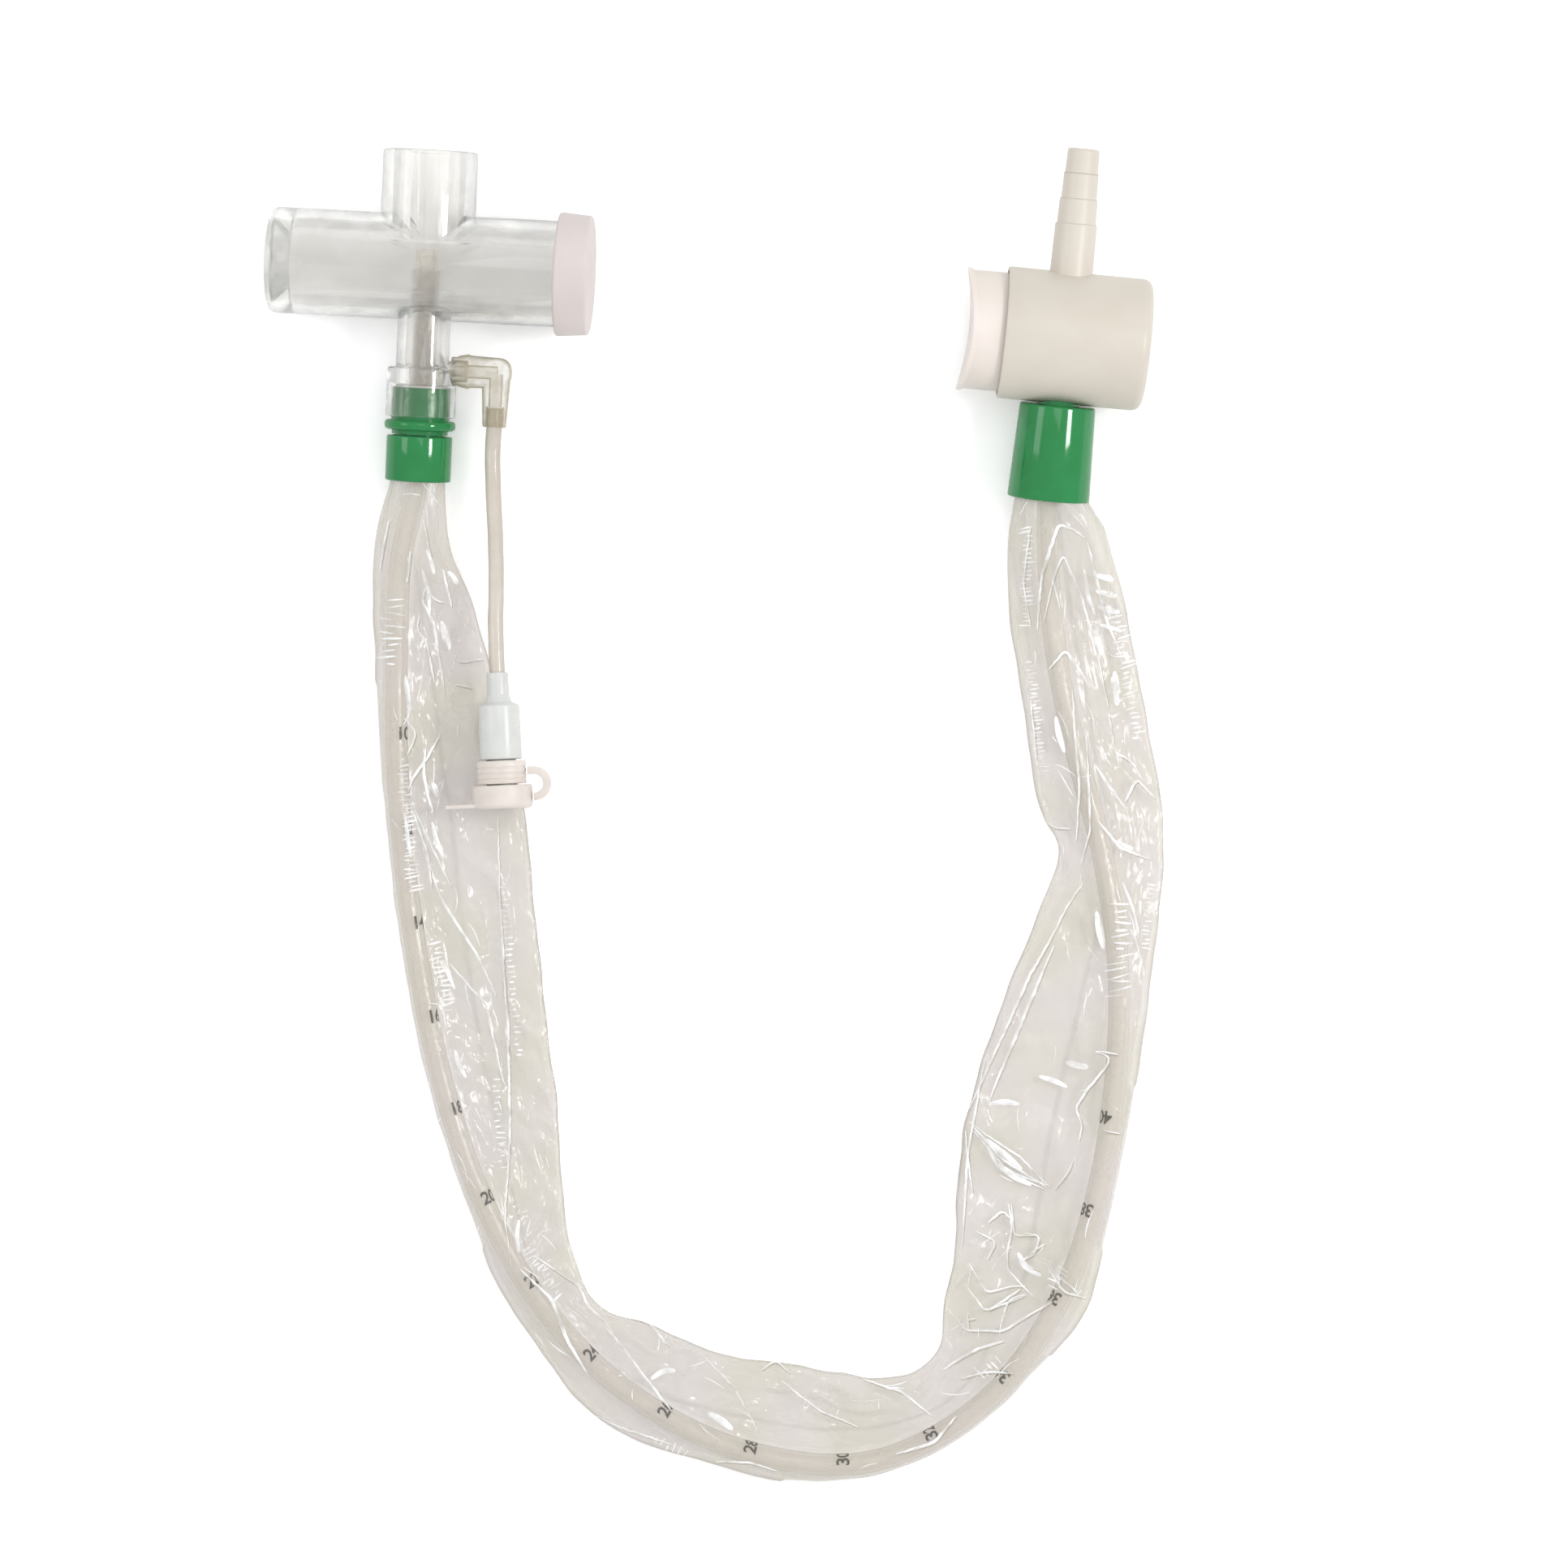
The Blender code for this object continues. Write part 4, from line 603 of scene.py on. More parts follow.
# Rubber of the seal rings: dull black
RUBBER = moulded("black_rubber", "2A2A2A", "343434", 0.60, 1.52, 2, 0.2, 0.004)
STEEL = steel_finish()
FILM = film_finish()
# Painted highlights: the white of the strips laid along the film's creases, pleats and gleams
CREASE_HIGHLIGHT = crease_finish()
# The shaded side of a sharp fold: the film's own colour, darker and half clear
FOLD_SHADE = moulded("film_fold_shade", "A79E8C", "B3AA99", 0.3, 1.50, 6, 0.5, 0.004, alpha=0.42)
# PVC of the catheter: milky clear, whiter along both edges
CATHETER_PVC = clear_moulding("catheter_pvc", "F7F0E5", 0.18, 1.54, 6.0, 0.01, 0.30, 0.34, 0.05)
# Printing ink: flat black
INK = moulded("depth_ink", "0C0C0B", "161614", 0.55, 1.50, 1.0, 0.2, 0.002)


# Camera, table and light
def set_stage():
    data = bpy.data.cameras.new("camera")
    data.sensor_width = 36.0
    data.lens = 93.17
    camera = bpy.data.objects.new("camera", data)
    camera.location = (0.0146, 0.0066, 0.870)
    bpy.context.scene.collection.objects.link(camera)
    bpy.context.scene.camera = camera

    reach, level = 3.0, -0.0004
    corners = [(-reach, -reach, level), (reach, -reach, level), (reach, reach, level), (-reach, reach, level)]
    table = mesh_object("table", corners, [(0, 1, 2, 3)])
    table.data.materials.append(table_finish())

    for name, place, size, power in (
        ("key_softbox", (0.44, 0.06, 0.50), 0.13, 1.30),
        ("left_softbox", (-0.62, 0.20, 0.55), 0.30, 0.70),
        ("top_softbox", (0.10, 0.30, 1.00), 0.45, 1.00),
    ):
        lamp = bpy.data.lights.new(name, "AREA")
        lamp.shape = "SQUARE"
        lamp.size = size
        lamp.energy = power
        holder = bpy.data.objects.new(name, lamp)
        holder.location = place
        holder.rotation_euler = (-Vector(place)).to_track_quat("-Z", "Y").to_euler()
        bpy.context.scene.collection.objects.link(holder)

    world = bpy.data.worlds.new("studio")
    bpy.context.scene.world = world
    world.use_nodes = True
    tree = world.node_tree
    sky = add_node(tree, "ShaderNodeTexCoord").outputs["Generated"]
    height = add_node(tree, "ShaderNodeSeparateXYZ", {"Vector": sky}).outputs["Z"]
    light = add_node(tree, "ShaderNodeMix", data_type="FLOAT", inputs={
        0: seen_directly(tree), 2: stretched(tree, height, 0.0, 0.9, 0.70, 0.82), 3: 1.0})
    set_inputs(tree, tree.nodes["Background"], {"Color": linear("FDFEFF"), "Strength": light.outputs[0]})
    bpy.context.scene.view_settings.view_transform = "Standard"


set_stage()


# Moulded ends; sizes in millimetres, turned about the frame's own axes
def spun(name, outline, frame_matrix, direction=ALONG_Y, place=(0, 0, 0), segments=FINE):
    """The same as turned, in millimetres."""
    scaled = [tuple(v * 0.001 for v in point) for point in outline]
    return turned(name, scaled, frame_matrix, direction, [v * 0.001 for v in place], segments)


def box(name, low, high, frame_matrix):
    corners = [frame_matrix @ Vector((x * 0.001, y * 0.001, z * 0.001))
               for x in (low[0], high[0]) for y in (low[1], high[1]) for z in (low[2], high[2])]
    sides = [(0, 1, 3, 2), (4, 6, 7, 5), (0, 4, 5, 1), (2, 3, 7, 6), (0, 2, 6, 4), (1, 5, 7, 3)]
    return mesh_object(name, corners, sides)


# Where the elbow's axis crosses the tee's neck, and its hose arm's axis
ELBOW_PLACE = (0, -21.45, 0)
ELBOW_TAIL_PLACE = (15.8, 0, 0)


def build_tee():
    barrel = spun("tee_barrel", [
        (0, 33.0), (11.15, 33.0, 0.4), (11.15, -33.0, 1.6), (0, -33.0)], TEE, ALONG_X)
    stub = spun("tee_stub", [(0, 24.4), (10.0, 24.4, 0.5), (10.0, 5.0), (0, 5.0)], TEE)
    lower = spun("tee_neck_and_socket", [
        (0, 0), (5.6, 0), (5.6, -21.1, 0.3), (7.35, -21.1, 0.5), (7.35, -31.5, 0.3), (0, -31.5)], TEE)
    barrel = combine(barrel, "UNION", stub, lower)
    spotface = spun("elbow_spotface", rod(3.3, 9.3, 6.0), TEE, ALONG_X, ELBOW_PLACE, 48)
    spigot = spun("irrigation_spigot", rod(2.0, 9.3, 4.0), TEE, ALONG_X, ELBOW_PLACE, 48)
    barrel = combine(combine(barrel, "DIFFERENCE", spotface), "UNION", spigot)
    bore = spun("barrel_bore", [
        (0, 34.5), (9.15, 34.5), (9.15, -27.5, 0.4), (8.9, -27.9), (8.9, -34.5), (0, -34.5)], TEE, ALONG_X)
    stub_bore = spun("stub_bore", [(0, 25.9), (7.72, 25.9), (7.45, 4.6), (0, 4.6)], TEE)
    lower_bore = spun("neck_bore", [
        (0, -4.6), (3.7, -4.6), (3.7, -24.6), (5.7, -24.6), (5.7, -25.05), (6.5, -25.05), (6.5, -33.0),
        (0, -33.0)], TEE)
    spigot_bore = spun("spigot_bore", rod(0.8, 10.8, 1.8), TEE, ALONG_X, ELBOW_PLACE, 32)
    bores = combine(bore, "UNION", stub_bore, lower_bore, spigot_bore)
    tee = clean_faces(combine(barrel, "DIFFERENCE", bores))
    tee.name = "tee_moulding"
    finish_piece(tee, STYRENE, "base", "clear_styrene", "t_piece")


def build_cap_guide_and_seal():
    cap = spun("end_cap", [
        (0, 34.9), (12.5, 34.9, 0.6), (13.05, 27.9, 0.6), (11.45, 27.9, 0.2), (11.45, 33.3), (8.85, 33.3),
        (8.85, 30.5), (7.65, 30.5), (7.65, 33.3), (0, 33.3)], TEE, ALONG_X)
    finish_piece(cap, CAP_FINISH, "port_cap", "cap_elastomer", "port_cap")
    guide = spun("catheter_guide", [
        (2.9, -0.6), (2.9, -23.9), (3.4, -23.9), (3.4, -24.6), (2.635, -24.6), (2.635, -0.6)],
        TEE, segments=64)
    finish_piece(guide, GUIDE_CLEAR, "base", "clear_styrene", "guide_tube")
    seal = spun("wiper_gasket", [
        (5.4, -24.9, 0.15), (5.4, -26.4, 0.15), (2.635, -26.4), (2.635, -24.9)], TEE)
    finish_piece(seal, SILICONE, "base", "white_silicone", "wiper_seal")


def build_coupling_and_collar():
    coupling = spun("green_coupling", [
        (6.1, -25.35, 0.15), (6.1, -27.5), (6.2, -27.5), (6.2, -32.2), (7.55, -32.2, 0.8),
        (7.55, -34.3, 0.8), (5.95, -34.3), (5.95, -35.2), (5.0, -35.2), (5.0, -44.5, 0.3), (2.9, -44.5),
        (2.9, -26.7), (5.7, -26.7), (5.7, -25.35)], TEE)
    finish_piece(coupling, GREEN, "base", "green_polypropylene", "coupling")
    collar = spun("front_clamp", [
        (6.95, -35.5, 0.35), (6.95, -45.1, 0.35), (5.7, -45.1, 0.15), (5.7, -35.5)], TEE)
    finish_piece(collar, GREEN, "base", "green_polypropylene", "front_collar")


def blunt_end(radius, reach, steps):
    """Half outline of a round end that stays full and closes late, like the end of a dipped moulding."""
    points = []
    for i in range(steps + 1):
        rise = math.sin(math.pi / 2 * i / steps)
        points.append((radius * (1 - rise**2.6) ** (1 / 2.6), reach * rise))
    points[-1] = (0.0, reach)
    return points


def build_elbow():
    arm_end = [(r, 15.8 + h) for r, h in blunt_end(3.25, 3.25, 10)]
    tail_end = [(r, -21.45 + h) for r, h in blunt_end(3.1, 3.25, 10)]
    arm = spun("elbow_arm", [
        *reversed(arm_end), (3.45, 10.4), (3.65, 9.8, 0.3), (3.3, 7.9), (3.0, 7.35), (3.0, 6.3), (0, 6.3)],
        TEE, ALONG_X, ELBOW_PLACE, 64)
    tail = spun("elbow_tail", [
        *reversed(tail_end), (2.5, -32.9, 0.3), (0, -32.9)], TEE, ALONG_Y, ELBOW_TAIL_PLACE, 64)
    arm_bore = spun("elbow_arm_bore", [
        (0, 16.0), (1.4, 16.0), (1.4, 9.6), (2.3, 9.6), (2.3, 4.8), (0, 4.8)],
        TEE, ALONG_X, ELBOW_PLACE, 64)
    tail_bore = spun("elbow_tail_bore", [
        (0, -21.65), (1.4, -21.65), (1.4, -28.6), (1.95, -28.6), (1.95, -34.4), (0, -34.4)],
        TEE, ALONG_Y, ELBOW_TAIL_PLACE, 64)
    elbow = combine(arm, "UNION", tail)
    elbow = clean_faces(combine(elbow, "DIFFERENCE", combine(arm_bore, "UNION", tail_bore)))
    elbow.name = "soft_elbow"
    finish_piece(elbow, SMOKY, "base", "smoky_soft_pvc", "irrigation_elbow")


def build_connector():
    body = spun("one_way_body", [
        (2.3, 0, 0.2), (2.3, -4.6, 0.5), (2.75, -6.2, 0.1), (4.35, -7.0, 0.3), (4.45, -18.4, 0.3),
        (3.3, -18.4), (3.3, -8.2), (1.05, -8.2), (1.05, -4.3), (1.95, -4.3), (1.95, 0)], CONNECTOR)
    finish_piece(body, WHITE_ABS, "base", "white_abs", "irrigation_connector")
    port = spun("one_way_port", [
        (3.0, -10.8), (3.0, -18.4), (3.3, -18.7), (3.3, -26.8, 0.4), (2.1, -26.8), (2.1, -10.8)], CONNECTOR)
    finish_piece(port, WHITE_ABS, "base", "white_abs", "irrigation_port")

    grooves = []
    for middle in (-20.2, -21.4, -22.6):
        grooves += [(5.2, middle + 0.25), (5.06, middle + 0.1), (5.06, middle - 0.1), (5.2, middle - 0.25)]
    ring = spun("grooved_ring", [
        (4.95, -18.7), (5.2, -19.1), *grooves, (5.2, -23.6, 0.2), (3.6, -23.6), (3.6, -18.7)], CONNECTOR)
    finish_piece(smooth_shading(ring, 25), BEIGE_PE, "base", "beige_polyethylene", "tether_ring")

    loop_radius, steps = 2.8, 28
    loop = []
    for i in range(steps + 1):
        angle = math.radians(90 - 180 * i / steps)
        loop.append((6.8 + loop_radius * math.cos(angle), -23.75 + loop_radius * math.sin(angle)))
    strap = band([(5.55, -20.95), *loop, (6.7, -26.55)])

    cap = spun("flush_cap", [
        (3.6, -23.9), (6.35, -23.9, 0.4), (6.35, -28.9, 1.1), (0, -28.9), (0, -27.1), (3.6, -27.1)],
        CONNECTOR)
    tab = box("pull_tab", (-11.9, -28.5, -3.0), (-3.2, -27.7, 3.0), CONNECTOR)
    cap = clean_faces(combine(cap, "UNION", tab), 0.00018)
    cap.name = "flush_cap"
    finish_piece(cap, BEIGE_PE, "irrigation_cap", "beige_polyethylene", "irrigation_cap")
    return [body, port, ring, strap, cap]


def band(path):
    """The strap: a flat ribbon with softly rounded edges, seen edge-on as a C."""
    half_thickness, half_width, rounding = 0.8, 1.5, 0.2
    section = []
    for quadrant, sx, sz in ((0, 1, 1), (90, -1, 1), (180, -1, -1), (270, 1, -1)):
        for turn in (0, 45, 90):
            angle = math.radians(quadrant + turn)
            section.append((sx * (half_thickness - rounding) + rounding * math.cos(angle),
                            sz * (half_width - rounding) + rounding * math.sin(angle)))
    points = []
    for i, (x, y) in enumerate(path):
        ahead = path[min(i + 1, len(path) - 1)]
        behind = path[max(i - 1, 0)]
        along = Vector((ahead[0] - behind[0], ahead[1] - behind[1])).normalized()
        normal = Vector((-along.y, along.x))
        for across, height in section:
            spot = Vector((x + normal.x * across, y + normal.y * across, height))
            points.append(CONNECTOR @ (spot * 0.001))
    strap = mesh_object("tether_band", points, tube_faces(len(path), len(section), capped=True))
    outward_faces(strap)
    smooth_shading(strap)
    strap.data.materials.append(BEIGE_PE)
    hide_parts("tether_strap")
    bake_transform(strap)
    return strap


def build_valve():
    housing = spun("valve_body", [
        (0, 17.4), (13.85, 17.4, 2.0), (13.85, -13.1, 0.35), (13.2, -13.1), (13.2, -11.2), (12.8, -11.2),
        (12.8, -4.4), (9.3, -4.4), (9.3, 14.9), (0, 14.9)], VALVE, ALONG_X)
    tail = spun("hose_tail", [
        (0, 39.65), (3.35, 39.65, 0.6), (3.5, 34.45, 0.2), (3.65, 34.45, 0.15), (3.75, 29.15, 0.2),
        (4.0, 29.15, 0.15), (4.1, 23.95, 0.2), (4.4, 23.95, 0.15), (4.55, 11.6), (0, 11.6)], VALVE)
    tail_bore = spun("tail_bore", rod(2.4, 41.0, 4.6), VALVE)
    spigot_hole = spun("spigot_hole", [
        (0, -4.6), (2.4, -4.6), (2.4, -10.2), (4.65, -10.2), (4.65, -15.4), (0, -15.4)], VALVE)
    housing = combine(housing, "UNION", tail)
    housing = clean_faces(combine(housing, "DIFFERENCE", tail_bore, spigot_hole))
    housing.name = "valve_body"
    finish_piece(housing, BEIGE_ABS, "base", "beige_abs", "valve_housing")

    button = spun("button_cup", [
        (0, -16.8), (4.3, -16.8), (4.3, -11.7), (5.5, -11.7), (5.5, -17.6), (11.1, -17.6), (11.1, -11.7),
        (12.5, -11.7, 0.2), (12.5, -21.8), (0, -21.8)], VALVE, ALONG_X)
    # The thumb's hollow is one wide cylinder across the button's face, and the lip follows it
    face, lip_radius, hollow_depth = -21.8, 12.9, 2.0
    saddle_radius = (lip_radius**2 + hollow_depth**2) / (2 * hollow_depth)
    place = (face + hollow_depth - saddle_radius, 0, 0)
    lip = spun("button_lip", rod(lip_radius, -17.9, face), VALVE, ALONG_X)
    limit = spun("lip_limit", rod(saddle_radius + 1.0, 27.7, -27.7), VALVE, UPRIGHT, place, 256)
    saddle = spun("thumb_saddle", rod(saddle_radius, 27.7, -27.7), VALVE, UPRIGHT, place, 256)
    lip = combine(lip, "INTERSECT", limit)
    button = clean_faces(combine(combine(button, "UNION", lip), "DIFFERENCE", saddle), 0.00022)
    button.name = "thumb_rest"
    finish_piece(button, BUTTON_PP, "button", "button_polypropylene", "thumb_button")

    collar = spun("rear_clamp", [
        (8.0, -14.15, 0.4), (8.75, -34.1, 0.4), (7.65, -34.1, 0.3), (6.9, -15.65), (4.65, -15.65),
        (4.65, -14.15)], VALVE)
    finish_piece(collar, GREEN, "base", "green_polypropylene", "rear_collar")


def build_spring():
    """Five turns of round wire between the plunger and the end of the valve's bore."""
    coil_radius, wire_radius, first, last, turns = 4.0, 0.35, 3.25, 14.25, 5
    steps, sides = 36 * turns, 12
    points = []
    for i in range(steps + 1):
        angle = 2 * math.pi * turns * i / steps
        out = Vector((0, math.cos(angle), math.sin(angle)))
        centre = Vector((first + (last - first) * i / steps, 0, 0)) + out * coil_radius
        for k in range(sides):
            turn = 2 * math.pi * k / sides
            spot = centre + out * wire_radius * math.cos(turn)
            spot += Vector((wire_radius * math.sin(turn), 0, 0))
            points.append(VALVE @ (spot * 0.001))
    spring = mesh_object("plunger_spring", points, tube_faces(steps + 1, sides, capped=True))
    outward_faces(spring)
    finish_piece(smooth_shading(spring), STEEL, "base", "spring_steel", "return_spring")
    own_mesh(spring)


def build_hose():
    route = [Vector(p) for p in HOSE_ROUTE]
    route = [2 * route[0] - route[1], *route, 2 * route[-1] - route[-2]]
    points, _ = smooth_run(route, 0.0008)
    curve = bpy.data.curves.new("irrigation_tubing", "CURVE")
    curve.dimensions = "3D"
    curve.bevel_depth = HOSE_RADIUS
    curve.bevel_resolution = 8
    spline = curve.splines.new("POLY")
    spline.points.add(len(points) - 1)
    for target, point in zip(spline.points, points):
        target.co = (*point, 1.0)
    hose = new_object("irrigation_tubing", curve)
    return finish_piece(hose, HOSE_PVC, "base", "clear_soft_pvc", "irrigation_hose"), points


build_tee()
build_cap_guide_and_seal()
build_coupling_and_collar()
build_elbow()
connector_pieces = build_connector()
build_valve()
build_spring()
hose, hose_points = build_hose()


# Catheter, from its tip in the tee to its stop in the valve
def offset_frames(points):
    """Directions along, sideways to the inside of the bend, and up, at each point of a run."""
    frames = []
    for i in range(len(points)):
        along = (points[min(i + 1, len(points) - 1)] - points[max(i - 1, 0)]).normalized()
        side = Vector((0, 0, 1)).cross(along).normalized()
        frames.append((along, side, along.cross(side).normalized() * -1))
    return [(a, s, u if u.z > 0 else -u) for a, s, u in frames]


def catheter_line():
    """Guide points from the front collar's top to the rear collar's top."""
    points = [TEE @ Vector((0, -FRONT_COLLAR_TOP, 0)), TEE @ Vector((0, -FRONT_COLLAR_END, 0))]
    points += [Vector((x, y, CATHETER_REST + lift)) for x, y, lift in CATHETER_ROUTE]
    points += [VALVE @ Vector((0, -REAR_COLLAR_END, 0)), VALVE @ Vector((0, -REAR_COLLAR_TOP, 0))]
    return points


def build_catheter():
    run, _ = smooth_run(catheter_line(), 0.0015)
    tip = TEE @ Vector((0, CATHETER_TIP_REACH, 0))
    stop = VALVE @ Vector((0, -CATHETER_REAR_STOP, 0))
    front = [tip.lerp(run[0], i / 26) for i in range(26)]
    rear = [run[-1].lerp(stop, i / 2) for i in range(1, 3)]
    line = front + run + rear
    frames = offset_frames(line)
    sides = 40
    points, faces = [], []
    for radius in (CATHETER_RADIUS, CATHETER_LUMEN):
        for place, (_, side, up) in zip(line, frames):
            for k in range(sides):
                angle = 2 * math.pi * k / sides
                points.append(place + (side * math.cos(angle) + up * math.sin(angle)) * radius)
    count = len(line)
    for outer in tube_faces(count, sides):
        faces.append(outer)
        faces.append([v + count * sides for v in reversed(outer)])
    for row in (0, count - 1):
        for k in range(sides):
            n = (k + 1) % sides
            rim = [row * sides + k, row * sides + n, (row + count) * sides + n, (row + count) * sides + k]
            faces.append(rim if row == 0 else list(reversed(rim)))
    catheter = mesh_object("catheter_tube", points, faces)
    outward_faces(catheter)
    for name, sign, distance in (("eye_upper", 1, 4.5), ("eye_lower", -1, 7.2)):
        wall = sign * 2.335
        eye = spun(name, rod(1.0, wall + 1.5, wall - 1.5), TEE, UPRIGHT, (0, 3.7 - distance, 0), 32)
        catheter = combine(catheter, "DIFFERENCE", eye)
    catheter = smooth_shading(catheter)
    catheter.name = "catheter_tube"
    finish_piece(catheter, CATHETER_PVC, "base", "catheter_pvc", "catheter")
    return line


# Place of the depth numbers, fitted to the photograph: metres along the tube per printed centimetre, and the
# offset of the first. The spacing comes out at 20.3 mm for 2 printed centimetres, since the part's scale was
# set on the numbers' straight distances and they lie on the inside of the bend.
MARK_PITCH = 0.010165
MARK_OFFSET = 0.0017
DIGIT_SIZE = 0.0039
DIGIT_TURNS = (26, 70)


def depth_marks(line):
    """Depth numbers from 10 to 40 in steps of two, with their two digits side by side round the tube."""
    frames = offset_frames(line)
    distances = distances_along(line)
    points, faces = [], []
    radius = CATHETER_RADIUS + 0.00003
    for depth in range(10, 42, 2):
        wanted = depth * MARK_PITCH + MARK_OFFSET
        for digit, turn in zip(str(depth), DIGIT_TURNS):
            words = bpy.data.curves.new("digit", "FONT")
            words.body = digit
            words.size = DIGIT_SIZE
            words.offset = 0.00009
            words.resolution_u = 3
            words.align_x = "CENTER"
            letter = bpy.data.meshes.new_from_object(new_object("digit", words))
            bpy.data.objects.remove(bpy.data.objects["digit"], do_unlink=True)
            shape = bmesh.new()
            shape.from_mesh(letter)
            # Cuts across the digit let it bend round the tube
            for cut in range(-3, 4):
                everything = shape.verts[:] + shape.edges[:] + shape.faces[:]
                bmesh.ops.bisect_plane(
                    shape, geom=everything, plane_co=(cut * 0.0003, 0, 0), plane_no=(1, 0, 0))
            start = len(points)
            shape.verts.index_update()
            for vert in shape.verts:
                distance = wanted + 0.0011 - vert.co.y
                k = 0
                while k < len(line) - 2 and distances[k + 1] < distance:
                    k += 1
                share = (distance - distances[k]) / (distances[k + 1] - distances[k])
                centre = line[k].lerp(line[k + 1], share)
                _, side, up = frames[k]
                angle = math.radians(turn) + vert.co.x / radius
                points.append(centre + (up * math.cos(angle) + side * math.sin(angle)) * radius)
            for face in shape.faces:
                faces.append([start + vert.index for vert in face.verts])
            shape.free()
            bpy.data.meshes.remove(letter)
    marks = mesh_object("depth_marks", points, faces)
    finish_piece(marks, INK, "base", "catheter_pvc")


catheter_points = build_catheter()
depth_marks(catheter_points)


# Film sleeve: a flattened, creased tube round the catheter
# Distance between its loops, points of a loop over and under, and its radius where it tents over the catheter
FILM_SPACING = 0.0010
TOP_POINTS = 68
BOTTOM_POINTS = 28
TENT_RADIUS = 0.00275
# How far from a collar its gathers reach, and how fast it settles from round to flat
GATHER_REACH = 0.022
SETTLE_REACH = 0.028


def creased(place):
    """Height of crumpled film, 0 to 1: smooth sides that meet in sharp creases."""
    value = noise.noise(place)
    value += 0.5 * noise.noise(place * 2.1 + Vector((7.0, 3.0, 1.0)))
    return max(0.0, 1.0 - abs(value) * 2.4)


def pressed_flat(place):
    """How far the connector and its cap hold the film down, 0 to 1."""
    beyond = max(place.y - 0.0322, -0.0087 - place.y, 0.0)
    aside = max(abs(place.x + 0.0462) - 0.0080, 0.0)
    return (1 - smoothstep(0.0, 0.012, beyond)) * (1 - smoothstep(0.0, 0.006, aside))


def film_section(place, side, up, settled, distance, outside, inside, total):
    """One loop of the film, from the outer edge over the catheter to the inner edge and back below."""
    gather = math.exp(-distance / GATHER_REACH) + math.exp(-(total - distance) / GATHER_REACH)
    decay = 0.0042 + 0.0016 * noise.noise(Vector((distance * 60, 3.1, 0)))
    crown = place.z + TENT_RADIUS
    leg = TENT_RADIUS * math.cos(math.pi / 4)
    shoulder = place.z + leg
    hem = 0.0005 + 0.0004 * abs(noise.noise(Vector((distance * 120, 9.0, 0))))
    loop = []
    for i in range(TOP_POINTS):
        share = i / (TOP_POINTS - 1)
        across = -outside + (outside + inside) * (0.5 - 0.5 * math.cos(math.pi * share))
        across = across * 0.35 + (-outside + (outside + inside) * share) * 0.65
        beyond = abs(across) - leg
        if beyond <= 0:
            height = place.z + math.sqrt(TENT_RADIUS**2 - across**2)
        else:
            height = hem + (shoulder - hem) * math.exp(-beyond / decay)
        room = outside if across < 0 else inside
        if room < 0.0045:
            edge = min(1.0, (room - abs(across)) / 0.0006)
            height *= math.sqrt(max(0.0, edge))
        loose = smoothstep(0.0, 0.0035, beyond)
        rim = smoothstep(0.0, 0.0016, room - abs(across))
        spot = Vector((across * 95, distance * 62, 2.0))
        bend = Vector((noise.noise(spot * 0.6), noise.noise(spot * 0.6 + Vector((5, 5, 5))), 0))
        ridges = creased(spot + bend)
        fine = creased(Vector((across * 260, distance * 330, 8.0)))
        wave = noise.noise(Vector((across * 40, distance * 45, 4.0)))
        height += loose * rim * (0.0010 * ridges + 0.0012 * (wave + 0.35) + 0.00010 * fine)
        height += (1 - loose) * 0.00018 * creased(Vector((across * 120, distance * 420, 6.0)))
        pleats = math.sin(across * 2600 + 3 * noise.noise(Vector((distance * 30, across * 200, 1))))
        height += gather * 0.0005 * pleats * rim
        loop.append((across, max(height, hem * 0.6)))
    for i in range(1, BOTTOM_POINTS + 1):
        share = i / (BOTTOM_POINTS + 1)
        across = inside - (outside + inside) * share
        height = 0.00012 * creased(Vector((across * 200, distance * 220, 12.0)))
        loop.append((across, height))
    ring = []
    width = outside + inside
    middle = (inside - outside) / 2
    for i, (across, height) in enumerate(loop):
        laid = Vector((place.x, place.y, 0.0)) + side * across
        if height > 0.0027:
            height += (0.00265 - height) * pressed_flat(laid) * smoothstep(0.0, 0.002, abs(across) - leg)
        laid.z = height
        if i < TOP_POINTS:
            turn = math.pi - math.pi * i / (TOP_POINTS - 1)
        else:
            turn = -math.pi * (i - TOP_POINTS + 1) / (BOTTOM_POINTS + 1)
        flutes = math.sin(11 * turn + 2 * noise.noise(Vector((distance * 40, 1, 1))))
        radius = min(width / 2 * (1 + 0.035 * flutes), width / 2 + 0.0002)
        round_place = place + side * (middle + radius * math.cos(turn)) + up * (radius * math.sin(turn))
        spot = round_place.lerp(laid, settled)
        spot.z = max(0.00002, spot.z)
        ring.append(spot)
    return ring


